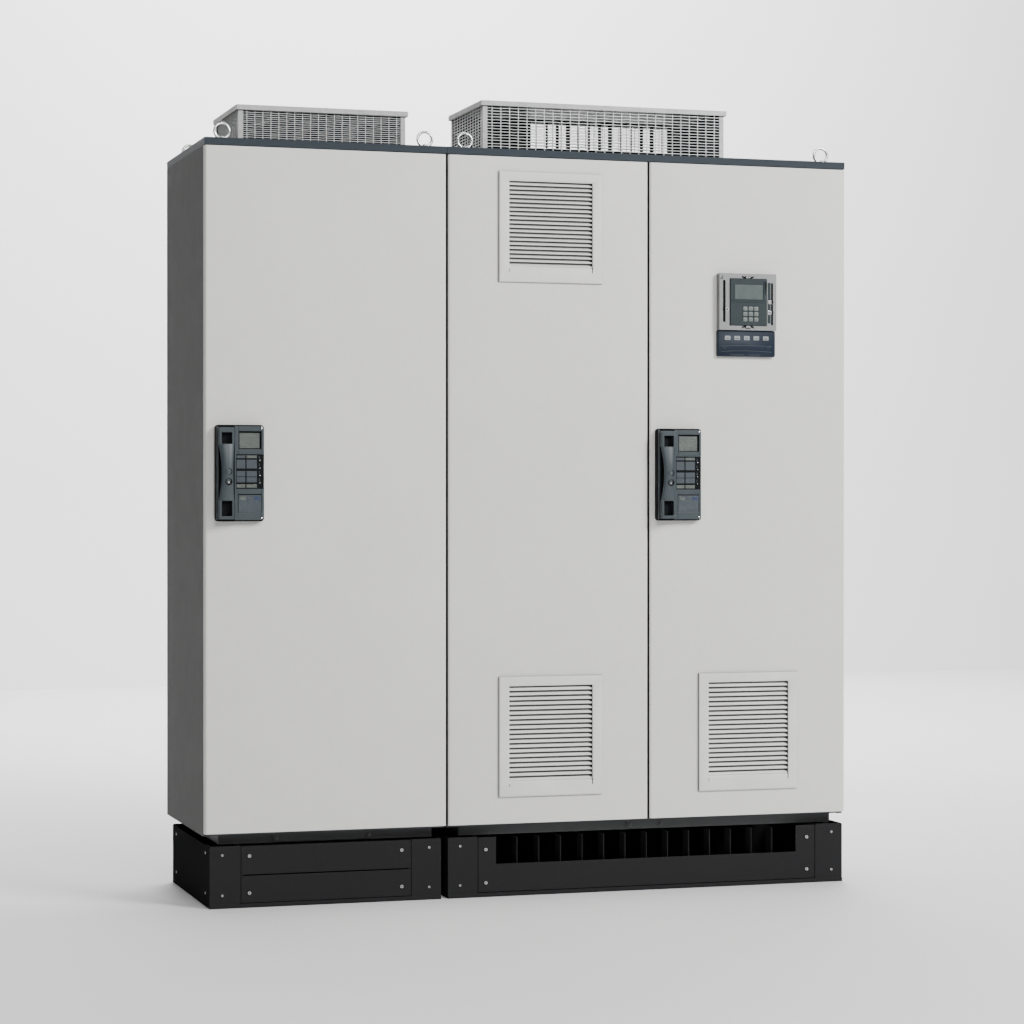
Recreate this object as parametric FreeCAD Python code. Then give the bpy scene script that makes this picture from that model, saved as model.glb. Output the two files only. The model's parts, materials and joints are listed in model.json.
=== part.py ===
import FreeCAD, Part
import os
from math import cos, radians, sin, tau

V = FreeCAD.Vector

# Frame: +X to the right seen from the front, +Y to the back, +Z up.
# The origin is on the floor, in the middle of the whole object's box.

# Overall size, millimetres
WIDTH = 1960.0
DEPTH = 659.0
HEIGHT = 2340.0
HANDLE_PROUD = 59.0
PLINTH_TOP = 176.0
ROOF_TOP = PLINTH_TOP + 2000.0

LEFT_EDGE = -WIDTH / 2
RIGHT_EDGE = WIDTH / 2
DOOR_FRONT = -DEPTH / 2 + HANDLE_PROUD
REAR = DEPTH / 2

# Enclosures: sheet, frame profile and the line between the two cabinets
SHEET = 2.0
PROFILE = 40.0
PROFILE_WALL = 2.5
CABINET_SPLIT = LEFT_EDGE + 709.5
CABINET_GAP = 1.0
CABINETS = {
    "left": (LEFT_EDGE, CABINET_SPLIT - CABINET_GAP / 2),
    "right": (CABINET_SPLIT + CABINET_GAP / 2, RIGHT_EDGE),
}
BODY_FRONT = DOOR_FRONT + 22.0
FRAME_FRONT = BODY_FRONT + SHEET
FRAME_REAR = REAR - SHEET
FRAME_BOTTOM = PLINTH_TOP + 30.0
FRAME_TOP = ROOF_TOP - 3.0
ROOF_BOTTOM = ROOF_TOP - 21.0
BASE_INSET = 50.0
BASE_FRONT = DOOR_FRONT + 60.0

# Doors
DOOR_DEPTH = 18.0
DOOR_RADIUS = 9.0
DOOR_BOTTOM = 213.0
DOOR_TOP = 2153.0
DOOR_GAP = 4.0
LEAF_SPLIT = LEFT_EDGE + 1329.0
DOORS = {
    "left": (LEFT_EDGE, CABINET_SPLIT - DOOR_GAP / 2),
    "centre": (CABINET_SPLIT + DOOR_GAP / 2, LEAF_SPLIT - DOOR_GAP / 2),
    "right": (LEAF_SPLIT + DOOR_GAP / 2, RIGHT_EDGE),
}
HINGE_SIDE = {"left": 1, "centre": -1, "right": 1}
HINGE_LEVELS = (420.0, 1180.0, 1950.0)
HINGE_Y = DOOR_FRONT + DOOR_RADIUS
PIN_RADIUS = 3.5
KNUCKLE_RADIUS = 6.5
RUNNING_FIT = 0.05

# Air grilles: door, middle in X, bottom and top
GRILLE_WIDTH = 318.0
GRILLES = {
    "centre_top": ("centre", 43.0, 1789.0, 2111.0),
    "centre_bottom": ("centre", 43.0, 291.0, 641.0),
    "right_bottom": ("right", 664.0, 289.0, 640.0),
}
GRILLE_BAND = 31.0
GRILLE_HEADBAND = 28.0
GRILLE_SILL = 52.0
GRILLE_PROUD = 9.0
GRILLE_NECK_WALL = 6.0
LOUVRES = 20

# Handle assemblies: left edge of the back plate in X
HANDLES = {"left": -952.0, "right": 368.0}
HANDLE_WIDTH = 138.0
HANDLE_BOTTOM = 1094.0
HANDLE_TOP = 1366.0
HANDLE_PLATE_DEPTH = 30.0
HANDLE_TRAY_DEPTH = 16.0
LEVER_COLUMN = 52.0
SPINDLE_DROP = 28.0
SPINDLE_RADIUS = 6.0
PINION_RADIUS = 9.2
ROD_WIDTH = 8.0
ROD_FRONT = DOOR_FRONT + 6.5
ROD_DEPTH = 6.0
ROD_PLAY = 0.1

# Keypad on the right door
BEZEL = (564.0, 747.0, 1661.0, 1830.0)
KEYPAD = (598.0, 715.5, 1675.5, 1814.5)
DISPLAY = (613.0, 703.0, 1753.0, 1797.0)
STRIP = (562.5, 746.0, 1583.0, 1660.0)
BEZEL_PROUD = 22.0
KEYPAD_PROUD = 26.0
STRIP_PROUD = 15.0
KEY_MIDDLE = 662.5
KEY_TOP_ROW = 1725.4
KEY_PITCH_X = 17.6
KEY_PITCH_Z = 16.2
KEY_SIZE = (15.0, 13.4)
KEY_PROUD = 2.0
KEY_TRAVEL = 1.0

# Plinths
PLINTHS = {"left": (-963.0, -285.0), "right": (-264.0, 978.0)}
PLINTH_FRONT = DOOR_FRONT + 15.0
PLINTH_REAR = REAR - 2.5
PLINTH_POST = 86.0
FLANGE = 12.0
FLOOR_HOLE_RADIUS = 7.0
FIN_START = 211.0
FIN_PITCH = 67.0
PANEL_SCREW_RADIUS = 4.5
POST_SCREW_RADIUS = 3.2

# Roof hoods: x range, y range and top of the lid
HOODS = {
    "left": (-856.0, -344.0, -110.5, 239.5, 2295.0),
    "right": (-118.5, 661.5, -105.5, 249.5, HEIGHT),
}
LID_LIP = 15.0
LID_OVERHANG = 7.0
HOOD_POST = 14.0
MESH_PITCH_X = 31.0
MESH_PITCH_Z = 18.0
MESH_WIRE = 3.0
FAN_SIZE = 300.0
FAN_HEIGHT = 78.0
FAN_BORE = 128.0
# The left fan stands on its roof inside the hood, the right one hangs under its roof
FAN_BASE = {"left": ROOF_TOP, "right": FRAME_TOP - FAN_HEIGHT}

# Lifting eyes
EYE_X = (-918.0, -321.0, -200.0, 926.0)
EYE_Y = (-210.0, 285.0)
EYE_RING = 20.0
EYE_WIRE = 5.5
EYE_LIFT = 0.5


def box(x0, x1, y0, y1, z0, z1):
    return Part.makeBox(x1 - x0, y1 - y0, z1 - z0, V(x0, y0, z0))


def cylinder_y(x, z, radius, y0, y1):
    return Part.makeCylinder(radius, y1 - y0, V(x, y0, z), V(0, 1, 0))


def cylinder_z(x, y, radius, z0, z1):
    return Part.makeCylinder(radius, z1 - z0, V(x, y, z0))


def fuse(solids):
    return solids[0].fuse(list(solids[1:])).removeSplitter()


def cut(solid, tools):
    return solid.cut(list(tools))


def prism(points, direction):
    wire = Part.makePolygon([V(*p) for p in points] + [V(*points[0])])
    return Part.Face(wire).extrude(V(*direction))


def rounded_plate(x0, x1, z0, z1, radius, y0, y1):
    """A plate in the XZ plane with four round corners."""
    plate = box(x0, x1, y0, y1, z0, z1)
    corners = [e for e in plate.Edges if e.BoundBox.XLength < 1e-6 and e.BoundBox.ZLength < 1e-6]
    return plate.makeFillet(radius, corners)


def tube_z(x0, x1, y0, y1, z0, z1, wall):
    outer = box(x0, x1, y0, y1, z0, z1)
    return outer.cut(box(x0 + wall, x1 - wall, y0 + wall, y1 - wall, z0, z1))


# ---------------------------------------------------------------- plinths

def plinth_posts(side):
    x0, x1 = PLINTHS[side]
    posts = []
    for px in (x0 + SHEET, x1 - SHEET - PLINTH_POST):
        for py in (PLINTH_FRONT, PLINTH_REAR - PLINTH_POST):
            posts.append(tube_z(px, px + PLINTH_POST, py, py + PLINTH_POST, FLANGE, PLINTH_TOP, 3.0))
    return posts


def floor_flanges(side):
    """Flat bars on the floor under the posts, with one floor bolt hole inside each post."""
    x0, x1 = PLINTHS[side]
    half = PLINTH_POST / 2
    bolt_x = (x0 + SHEET + half, x1 - SHEET - half)
    front = box(x0, x1, PLINTH_FRONT - 2, PLINTH_FRONT + PLINTH_POST, 0, FLANGE)
    rear = box(x0, x1, PLINTH_REAR - PLINTH_POST, PLINTH_REAR, 0, FLANGE)
    front_holes = [cylinder_z(x, PLINTH_FRONT + half, FLOOR_HOLE_RADIUS, 0, FLANGE) for x in bolt_x]
    rear_holes = [cylinder_z(x, PLINTH_REAR - half, FLOOR_HOLE_RADIUS, 0, FLANGE) for x in bolt_x]
    bars = [cut(front, front_holes), cut(rear, rear_holes)]
    for bar_x in (x0, x1 - PLINTH_POST):
        bars.append(box(bar_x, bar_x + PLINTH_POST, PLINTH_FRONT + PLINTH_POST, PLINTH_REAR - PLINTH_POST,
                        0, FLANGE))
    return bars


def plinth_fins():
    """Two rows of upright guide fins behind the air slot of the right plinth."""
    fins = []
    for row_front in (PLINTH_FRONT + 8, PLINTH_REAR - 60):
        for step in range(13):
            x = PLINTHS["right"][0] + FIN_START + step * FIN_PITCH
            fins.append(box(x, x + SHEET, row_front, row_front + 48, FLANGE, PLINTH_TOP - 6))
    return fins


def plinth_covers(side):
    """The side covers and the rear cover between the posts."""
    x0, x1 = PLINTHS[side]
    top = PLINTH_TOP - 2
    covers = [box(x, x + SHEET, PLINTH_FRONT, PLINTH_REAR, FLANGE, top) for x in (x0, x1 - SHEET)]
    inner = (x0 + SHEET + PLINTH_POST, x1 - SHEET - PLINTH_POST)
    covers.append(box(*inner, PLINTH_REAR - SHEET, PLINTH_REAR, FLANGE, top))
    return covers


def left_front_panels():
    """Two stacked panels, each folded back along its top and bottom edges."""
    x0, x1 = PLINTHS["left"]
    inner = (x0 + SHEET + PLINTH_POST + 3, x1 - SHEET - PLINTH_POST - 3)
    panels = []
    for z0, z1 in ((14.0, 90.0), (94.0, 174.0)):
        sheet = box(*inner, PLINTH_FRONT, PLINTH_FRONT + SHEET, z0, z1)
        folds = [box(*inner, PLINTH_FRONT, PLINTH_FRONT + 16, z, z + SHEET) for z in (z0, z1 - SHEET)]
        panels.append(fuse([sheet] + folds))
    return panels


def right_front_panel():
    x0, x1 = PLINTHS["right"]
    slot = (x0 + 145.5, x1 - 152.0)
    outline = [
        (x0 + 92, 14), (x1 - 92, 14), (x1 - 92, 174), (slot[1], 174),
        (slot[1], 95), (slot[0], 95), (slot[0], 174), (x0 + 92, 174),
    ]
    return prism([(x, PLINTH_FRONT, z) for x, z in outline], (0, SHEET, 0))


def socket_screw(x, z, radius):
    """A socket head on the plinth's front, with its hexagon recess."""
    head = cylinder_y(x, z, radius, PLINTH_FRONT - 3, PLINTH_FRONT)
    corners = []
    for k in range(6):
        dx = 0.55 * radius * cos(tau * k / 6)
        dz = 0.55 * radius * sin(tau * k / 6)
        corners.append((x + dx, PLINTH_FRONT - 3, z + dz))
    return head.cut(prism(corners, (0, 1.8, 0)))


def plinth_screws():
    left_panel = [(x, z) for x in (-849.0, -403.0) for z in (41.5, 146.5)]
    right_panel = [(x, z) for x in (-150.0, 861.0) for z in (41.5, 138.0)]
    screws = [socket_screw(x, z, PANEL_SCREW_RADIUS) for x, z in left_panel + right_panel]
    for x0, x1 in PLINTHS.values():
        for x in (x0 + 36, x1 - 36):
            screws += [socket_screw(x, z, POST_SCREW_RADIUS) for z in (37.0, 151.0)]
    return screws


# ---------------------------------------------------------------- enclosures

def frame(side):
    """Welded frame: four posts, rings of rails at top and bottom, and the recessed base rails."""
    x0, x1 = CABINETS[side]
    x0 += SHEET
    x1 -= SHEET
    members = []
    for px in (x0, x1 - PROFILE):
        for py in (FRAME_FRONT, FRAME_REAR - PROFILE):
            members.append(tube_z(px, px + PROFILE, py, py + PROFILE, FRAME_BOTTOM, FRAME_TOP, PROFILE_WALL))
    for z in (FRAME_BOTTOM, FRAME_TOP - PROFILE):
        for py in (FRAME_FRONT, FRAME_REAR - PROFILE):
            members.append(rail_x(x0 + PROFILE, x1 - PROFILE, py, z))
        for px in (x0, x1 - PROFILE):
            members.append(rail_y(px, FRAME_FRONT + PROFILE, FRAME_REAR - PROFILE, z))
    return members + base_rails(side)


def rail_x(x0, x1, y, z):
    outer = box(x0, x1, y, y + PROFILE, z, z + PROFILE)
    w = PROFILE_WALL
    return outer.cut(box(x0, x1, y + w, y + PROFILE - w, z + w, z + PROFILE - w))


def rail_y(x, y0, y1, z):
    outer = box(x, x + PROFILE, y0, y1, z, z + PROFILE)
    w = PROFILE_WALL
    return outer.cut(box(x + w, x + PROFILE - w, y0, y1, z + w, z + PROFILE - w))


def base_rails(side):
    """Rails between the plinth and the enclosure, set back from its outer faces."""
    x0, x1 = CABINETS[side]
    x0 += BASE_INSET
    x1 -= BASE_INSET - 20 if side == "left" else BASE_INSET - 26
    rear = REAR - BASE_INSET
    z = (PLINTH_TOP, FRAME_BOTTOM)
    rails = [box(x0, x1, BASE_FRONT, BASE_FRONT + 30, *z), box(x0, x1, rear - 30, rear, *z)]
    rails += [box(x, x + 30, BASE_FRONT + 30, rear - 30, *z) for x in (x0, x1 - 30)]
    bracket = (x0 + 160, x0 + 448) if side == "left" else (x0 + 520, x0 + 634)
    rails.append(box(*bracket, BASE_FRONT - 4, BASE_FRONT, z[0] + 3, z[1] - 2))
    return rails


def side_panel(side):
    """Side sheet with a folded lip at the front."""
    sheet_x = (LEFT_EDGE, LEFT_EDGE + SHEET) if side == "left" else (RIGHT_EDGE - SHEET, RIGHT_EDGE)
    lip_x = (LEFT_EDGE, LEFT_EDGE + 18) if side == "left" else (RIGHT_EDGE - 18, RIGHT_EDGE)
    z = (FRAME_BOTTOM - 1, ROOF_BOTTOM)
    return fuse([box(*sheet_x, BODY_FRONT, FRAME_REAR, *z), box(*lip_x, BODY_FRONT, FRAME_FRONT, *z)])


def rear_panel(side):
    return box(*CABINETS[side], FRAME_REAR, REAR, FRAME_BOTTOM - 1, ROOF_BOTTOM)


def gland_plate(side):
    """Floor sheet on the bottom ring, with two round cable entries."""
    x0, x1 = CABINETS[side]
    z = FRAME_BOTTOM + PROFILE
    plate = box(x0 + 45, x1 - 45, FRAME_FRONT + 18, FRAME_REAR - 18, z, z + SHEET)
    middle = (x0 + x1) / 2
    return cut(plate, [cylinder_z(middle + dx, -60, 45, z, z + SHEET) for dx in (-200, 200)])


def hood_middle(side):
    x0, x1, y0, y1, _ = HOODS[side]
    return (x0 + x1) / 2, (y0 + y1) / 2


def roof(side):
    """Roof tray with a folded rim, the fan opening and holes for the lifting eyes."""
    x0, x1 = CABINETS[side]
    y0 = DOOR_FRONT + 1
    tray = box(x0, x1, y0, REAR, ROOF_BOTTOM, ROOF_TOP)
    tray = tray.cut(box(x0 + SHEET, x1 - SHEET, y0 + SHEET, REAR - SHEET, ROOF_BOTTOM, FRAME_TOP))
    fan_x, fan_y = hood_middle(side)
    holes = [cylinder_z(fan_x, fan_y, FAN_BORE, FRAME_TOP, ROOF_TOP)]
    holes += [cylinder_z(x, y, 6.5, FRAME_TOP, ROOF_TOP) for x in EYE_X for y in EYE_Y if x0 < x < x1]
    return cut(tray, holes)


def lifting_eye(x, y):
    """Ring bolt: ring in the XZ plane on a collar, with its shank through the roof."""
    ring_middle = ROOF_TOP + EYE_LIFT + EYE_RING + EYE_WIRE
    ring = Part.makeTorus(EYE_RING, EYE_WIRE, V(x, y, ring_middle), V(0, 1, 0))
    collar = cylinder_z(x, y, 13, ROOF_TOP, ROOF_TOP + 6)
    shank = cylinder_z(x, y, 6, FRAME_TOP, ROOF_TOP)
    return fuse([ring, collar, shank])


# ---------------------------------------------------------------- roof hoods

def hood_body(side):
    """The hood's x and y ranges inside the lid's overhang."""
    x0, x1, y0, y1, top = HOODS[side]
    o = LID_OVERHANG
    return x0 + o, x1 - o, y0 + o, y1 - o, top


def hood_frame(side):
    """Angle posts at the corners and flange strips on the roof."""
    x0, x1, y0, y1, top = hood_body(side)
    z1 = top - SHEET
    pieces = []
    for cx, sx in ((x0, 1), (x1, -1)):
        for cy, sy in ((y0, 1), (y1, -1)):
            outline = [(0, 0), (HOOD_POST, 0), (HOOD_POST, 2), (2, 2), (2, HOOD_POST), (0, HOOD_POST)]
            corners = [(cx + sx * a, cy + sy * b, ROOF_TOP + 2) for a, b in outline]
            pieces.append(prism(corners, (0, 0, z1 - ROOF_TOP - 2)))
    for y in (y0, y1 - 18):
        pieces.append(box(x0, x1, y, y + 18, ROOF_TOP, ROOF_TOP + 2))
    for x in (x0, x1 - 18):
        pieces.append(box(x, x + 18, y0 + 18, y1 - 18, ROOF_TOP, ROOF_TOP + 2))
    return pieces


def mesh_holes(length, height):
    """Even rows of rectangular cells over a screen, as (a0, a1, b0, b1)."""
    columns = round(length / MESH_PITCH_X)
    rows = round(height / MESH_PITCH_Z)
    step_a = (length - MESH_WIRE) / columns
    step_b = (height - MESH_WIRE) / rows
    for i in range(columns):
        for j in range(rows):
            a = MESH_WIRE + i * step_a
            b = MESH_WIRE + j * step_b
            yield a, a + step_a - MESH_WIRE, b, b + step_b - MESH_WIRE


def screen(origin, along, length, height):
    """A flat wire screen: a sheet with its cells as inner outlines."""
    start = V(*origin)
    a_dir = V(*along)

    def outline(a0, a1, b0, b1):
        corners = [start + a_dir * a + V(0, 0, b) for a, b in ((a0, b0), (a1, b0), (a1, b1), (a0, b1))]
        return Part.makePolygon(corners + corners[:1])

    wires = [outline(0, length, 0, height)] + [outline(*cell) for cell in mesh_holes(length, height)]
    face = Part.Face(wires, "Part::FaceMakerBullseye")
    return face.extrude(a_dir.cross(V(0, 0, 1)) * 1.5)


def hood_screens(side):
    x0, x1, y0, y1, top = hood_body(side)
    z0 = ROOF_TOP + 2
    height = top - SHEET - z0
    inner = 2 + 1.5
    length_x = x1 - x0 - 2 * inner
    length_y = y1 - y0 - 2 * inner - 3
    return [
        screen((x0 + inner, y0 + inner, z0), (1, 0, 0), length_x, height),
        screen((x0 + inner, y1 - 2, z0), (1, 0, 0), length_x, height),
        screen((x0 + 2, y0 + inner + 1.5, z0), (0, 1, 0), length_y, height),
        screen((x1 - inner, y0 + inner + 1.5, z0), (0, 1, 0), length_y, height),
    ]


def hood_lid(side):
    x0, x1, y0, y1, top = HOODS[side]
    outer = box(x0, x1, y0, y1, top - LID_LIP, top)
    return outer.cut(box(x0 + 1.5, x1 - 1.5, y0 + 1.5, y1 - 1.5, top - LID_LIP, top - SHEET))


def fan_housing(side):
    """Square frame with a round bore, three arms and a motor in the middle."""
    x, y = hood_middle(side)
    half = FAN_SIZE / 2
    z = FAN_BASE[side]
    shell = box(x - half, x + half, y - half, y + half, z, z + FAN_HEIGHT)
    shell = shell.cut(cylinder_z(x, y, FAN_BORE, z, z + FAN_HEIGHT))
    arm = box(x - 8, x + 8, y, y + FAN_BORE + 4, z, z + 6)
    arms = []
    for k in range(3):
        turned = arm.copy()
        turned.rotate(V(x, y, z), V(0, 0, 1), 60 + 120 * k)
        arms.append(turned)
    motor = cylinder_z(x, y, 42, z, z + 24)
    stub = cylinder_z(x, y, 12, z + 24, z + 62)
    return fuse([shell, motor, stub] + arms)


def fan_rotor(side):
    """Hub with seven pitched blades, running on the motor's stub."""
    x, y = hood_middle(side)
    z = FAN_BASE[side] + 26
    hub = cylinder_z(x, y, 44, z, z + 40)
    blade = box(40, FAN_BORE - 6, -1.5, 1.5, 0, 46)
    blade.rotate(V(0, 0, 23), V(1, 0, 0), 52)
    blades = []
    for k in range(7):
        turned = blade.copy()
        turned.rotate(V(0, 0, 0), V(0, 0, 1), 360.0 * k / 7)
        turned.translate(V(x, y, z - 3))
        blades.append(turned)
    rotor = fuse([hub] + blades)
    return rotor.cut(cylinder_z(x, y, 12 + RUNNING_FIT, z, z + 38))


# ---------------------------------------------------------------- doors

def tray_profile(x0, x1, y_front, y_rear, radius):
    """Plan outline of a door: round front corners, square rear ones."""
    k = radius * (1 - cos(radians(45)))
    left_arc = Part.Arc(V(x0, y_front + radius, 0), V(x0 + k, y_front + k, 0), V(x0 + radius, y_front, 0))
    right_arc = Part.Arc(V(x1 - radius, y_front, 0), V(x1 - k, y_front + k, 0), V(x1, y_front + radius, 0))
    edges = [
        Part.LineSegment(V(x0, y_rear, 0), V(x0, y_front + radius, 0)).toShape(),
        left_arc.toShape(),
        Part.LineSegment(V(x0 + radius, y_front, 0), V(x1 - radius, y_front, 0)).toShape(),
        right_arc.toShape(),
        Part.LineSegment(V(x1, y_front + radius, 0), V(x1, y_rear, 0)).toShape(),
        Part.LineSegment(V(x1, y_rear, 0), V(x0, y_rear, 0)).toShape(),
    ]
    return Part.Face(Part.Wire(edges))


def door_tray(x0, x1):
    rear = DOOR_FRONT + DOOR_DEPTH
    outer = tray_profile(x0, x1, DOOR_FRONT, rear, DOOR_RADIUS).extrude(V(0, 0, DOOR_TOP - DOOR_BOTTOM))
    outer.translate(V(0, 0, DOOR_BOTTOM))
    hollow = tray_profile(x0 + SHEET, x1 - SHEET, DOOR_FRONT + SHEET, rear, DOOR_RADIUS - SHEET)
    hollow = hollow.extrude(V(0, 0, DOOR_TOP - DOOR_BOTTOM - 2 * SHEET))
    hollow.translate(V(0, 0, DOOR_BOTTOM + SHEET))
    return outer.cut(hollow)


def hinge_axis_x(name):
    x0, x1 = DOORS[name]
    return x1 - DOOR_RADIUS if HINGE_SIDE[name] > 0 else x0 + DOOR_RADIUS


def door_knuckles(name):
    """Two knuckles per hinge, above and below the bracket's eye."""
    x = hinge_axis_x(name)
    inward = -HINGE_SIDE[name]
    knuckles = []
    for level in HINGE_LEVELS:
        for z in (level - 26.3, level + 10.3):
            block_x = sorted((x, x + inward * KNUCKLE_RADIUS))
            block = box(*block_x, DOOR_FRONT + SHEET, HINGE_Y, z, z + 16)
            barrel = cylinder_z(x, HINGE_Y, KNUCKLE_RADIUS, z, z + 16)
            bore = cylinder_z(x, HINGE_Y, PIN_RADIUS + RUNNING_FIT, z, z + 16)
            knuckles.append(fuse([block, barrel]).cut(bore))
    return knuckles


def hinge_bracket(name, level):
    """Eye with its pin, and an arm that goes in behind the door and back to the frame post."""
    x = hinge_axis_x(name)
    inward = -HINGE_SIDE[name]
    z0 = level - 10
    z1 = level + 10
    eye = cylinder_z(x, HINGE_Y, KNUCKLE_RADIUS, z0, z1)
    pin = cylinder_z(x, HINGE_Y, PIN_RADIUS, level - 26, level + 26)
    arm_x = sorted((x, x + inward * 24))
    arm = box(*arm_x, HINGE_Y - 3.5, HINGE_Y + 3.5, z0, z1)
    leg_x = sorted((x + inward * 14, x + inward * 24))
    leg = box(*leg_x, HINGE_Y, FRAME_FRONT, z0, z1)
    return fuse([eye, pin, arm, leg])


def spindle_place(side):
    return HANDLES[side] + LEVER_COLUMN / 2, HANDLE_TOP - SPINDLE_DROP


def rod_guides(side):
    """Blocks behind the door sheet, each with one window for the two lock rods."""
    x, z_spindle = spindle_place(side)
    half = PINION_RADIUS + ROD_PLAY + ROD_WIDTH
    guides = []
    for z in (320.0, 820.0, z_spindle - 60, z_spindle + 60, 1720.0, 2080.0):
        block = box(x - half - 5, x + half + 5, DOOR_FRONT + SHEET, ROD_FRONT + ROD_DEPTH + 3, z - 9, z + 9)
        y0 = ROD_FRONT - ROD_PLAY
        y1 = ROD_FRONT + ROD_DEPTH + ROD_PLAY
        window = box(x - half - ROD_PLAY, x + half + ROD_PLAY, y0, y1, z - 9, z + 9)
        guides.append(block.cut(window))
    return guides


def grille_window(name):
    """The louvred part of a grille: x range, then z range."""
    _, middle, bottom, top = GRILLES[name]
    half = GRILLE_WIDTH / 2 - GRILLE_BAND
    return middle - half, middle + half, bottom + GRILLE_SILL, top - GRILLE_HEADBAND


def door(name):
    pieces = [door_tray(*DOORS[name])] + door_knuckles(name)
    openings = []
    for grille_name, (door_name, _, _, _) in GRILLES.items():
        if door_name == name:
            x0, x1, z0, z1 = grille_window(grille_name)
            w = GRILLE_NECK_WALL + 0.5
            openings.append(box(x0 - w, x1 + w, DOOR_FRONT, DOOR_FRONT + SHEET, z0 - w, z1 + w))
    if name in HANDLES:
        x, z = spindle_place(name)
        pieces += rod_guides(name)
        openings.append(cylinder_y(x, z, SPINDLE_RADIUS + 3, DOOR_FRONT, DOOR_FRONT + SHEET))
    shape = fuse(pieces)
    return cut(shape, openings) if openings else shape


def grille(name):
    """Bevelled frame with a neck through the door, and sloping louvre slats."""
    _, middle, bottom, top = GRILLES[name]
    half = GRILLE_WIDTH / 2
    bevel = 7.0
    back = [(middle - half, bottom), (middle + half, bottom), (middle + half, top), (middle - half, top)]
    front = [(x + (bevel if x < middle else -bevel), z + (bevel if z == bottom else -bevel)) for x, z in back]
    wires = []
    for corners, y in ((back, DOOR_FRONT), (front, DOOR_FRONT - GRILLE_PROUD)):
        wires.append(Part.makePolygon([V(x, y, z) for x, z in corners + corners[:1]]))
    rim = Part.makeLoft(wires, True, True)
    x0, x1, z0, z1 = grille_window(name)
    w = GRILLE_NECK_WALL
    neck = box(x0 - w, x1 + w, DOOR_FRONT, DOOR_FRONT + 14, z0 - w, z1 + w)
    body = fuse([rim, neck]).cut(box(x0, x1, DOOR_FRONT - GRILLE_PROUD, DOOR_FRONT + 14, z0, z1))
    pitch = (z1 - z0) / LOUVRES
    slats = []
    for k in range(LOUVRES):
        z = z0 + k * pitch
        y_front = DOOR_FRONT - GRILLE_PROUD + 2
        y_rear = y_front + 13
        outline = [(y_front, z + 0.5), (y_front, z + 3), (y_rear, z + pitch - 0.5), (y_rear, z + pitch - 3)]
        slats.append(prism([(x0 - 1, y, zz) for y, zz in outline], (x1 - x0 + 2, 0, 0)))
    return body.fuse(slats)


# ---------------------------------------------------------------- handles

def handle_plate(side):
    """Back plate: a shallow tray under the lever, label windows and a block of tiles beside it."""
    x0 = HANDLES[side]
    x1 = x0 + HANDLE_WIDTH
    front = DOOR_FRONT - HANDLE_PLATE_DEPTH
    plate = rounded_plate(x0, x1, HANDLE_BOTTOM, HANDLE_TOP, 8, front, DOOR_FRONT)
    x, z_spindle = spindle_place(side)
    column = x0 + LEVER_COLUMN
    tray_floor = DOOR_FRONT - HANDLE_TRAY_DEPTH
    cuts = [
        box(x0 + 5, column - 3, front, tray_floor, HANDLE_BOTTOM + 30, HANDLE_TOP - 52),
        box(column + 8, x1 - 10, front, front + 4, HANDLE_TOP - 68, HANDLE_TOP - 16),
        box(column + 3, x1 - 5, front, front + 3, HANDLE_BOTTOM + 95, HANDLE_TOP - 78),
        box(column + 8, x1 - 10, front, front + 1.5, HANDLE_BOTTOM + 26, HANDLE_BOTTOM + 80),
        cylinder_y(x, z_spindle, SPINDLE_RADIUS + RUNNING_FIT, front, DOOR_FRONT),
    ]
    plate = cut(plate, cuts)
    tiles = []
    for column_step in range(2):
        for row in range(4):
            tile_x = column + 6 + column_step * 28
            tile_z = HANDLE_BOTTOM + 99 + row * 24
            tiles.append(box(tile_x, tile_x + 25, front + 0.5, front + 3.5, tile_z, tile_z + 21))
    return plate.fuse(tiles)


def handle_lever(side):
    """Waisted swing lever with a finger gap behind it, its spindle and the pinion of the lock rods."""
    x, z_spindle = spindle_place(side)
    top = HANDLE_TOP - 8
    bottom = HANDLE_BOTTOM + 6
    middle = (top + bottom) / 2
    wide = 22.0
    waist = 15.0
    front = -DEPTH / 2
    plate_front = DOOR_FRONT - HANDLE_PLATE_DEPTH
    left = Part.Arc(V(x - wide, front, bottom), V(x - waist, front, middle), V(x - wide, front, top))
    right = Part.Arc(V(x + wide, front, top), V(x + waist, front, middle), V(x + wide, front, bottom))
    edges = [
        left.toShape(),
        Part.LineSegment(V(x - wide, front, top), V(x + wide, front, top)).toShape(),
        right.toShape(),
        Part.LineSegment(V(x + wide, front, bottom), V(x - wide, front, bottom)).toShape(),
    ]
    grip = Part.Face(Part.Wire(edges)).extrude(V(0, plate_front - 0.5 - front, 0))
    hollow = box(x - wide - 1, x + wide + 1, front + 12, plate_front, bottom + 34, top - 50)
    grip = grip.cut(hollow)
    spindle = cylinder_y(x, z_spindle, SPINDLE_RADIUS, plate_front - 1, ROD_FRONT + ROD_DEPTH)
    pinion = cylinder_y(x, z_spindle, PINION_RADIUS, ROD_FRONT, ROD_FRONT + ROD_DEPTH)
    return fuse([grip, spindle, pinion])


def lock_rod(side, direction):
    """Flat rod beside the pinion: the upper rod runs on its left, the lower one on its right."""
    x, z_spindle = spindle_place(side)
    near = PINION_RADIUS + ROD_PLAY
    rod_x = (x - near - ROD_WIDTH, x - near) if direction == "up" else (x + near, x + near + ROD_WIDTH)
    rod_z = (z_spindle - 22, 2138.0) if direction == "up" else (228.0, z_spindle + 22)
    return box(*rod_x, ROD_FRONT, ROD_FRONT + ROD_DEPTH, *rod_z)


# ---------------------------------------------------------------- keypad

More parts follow.
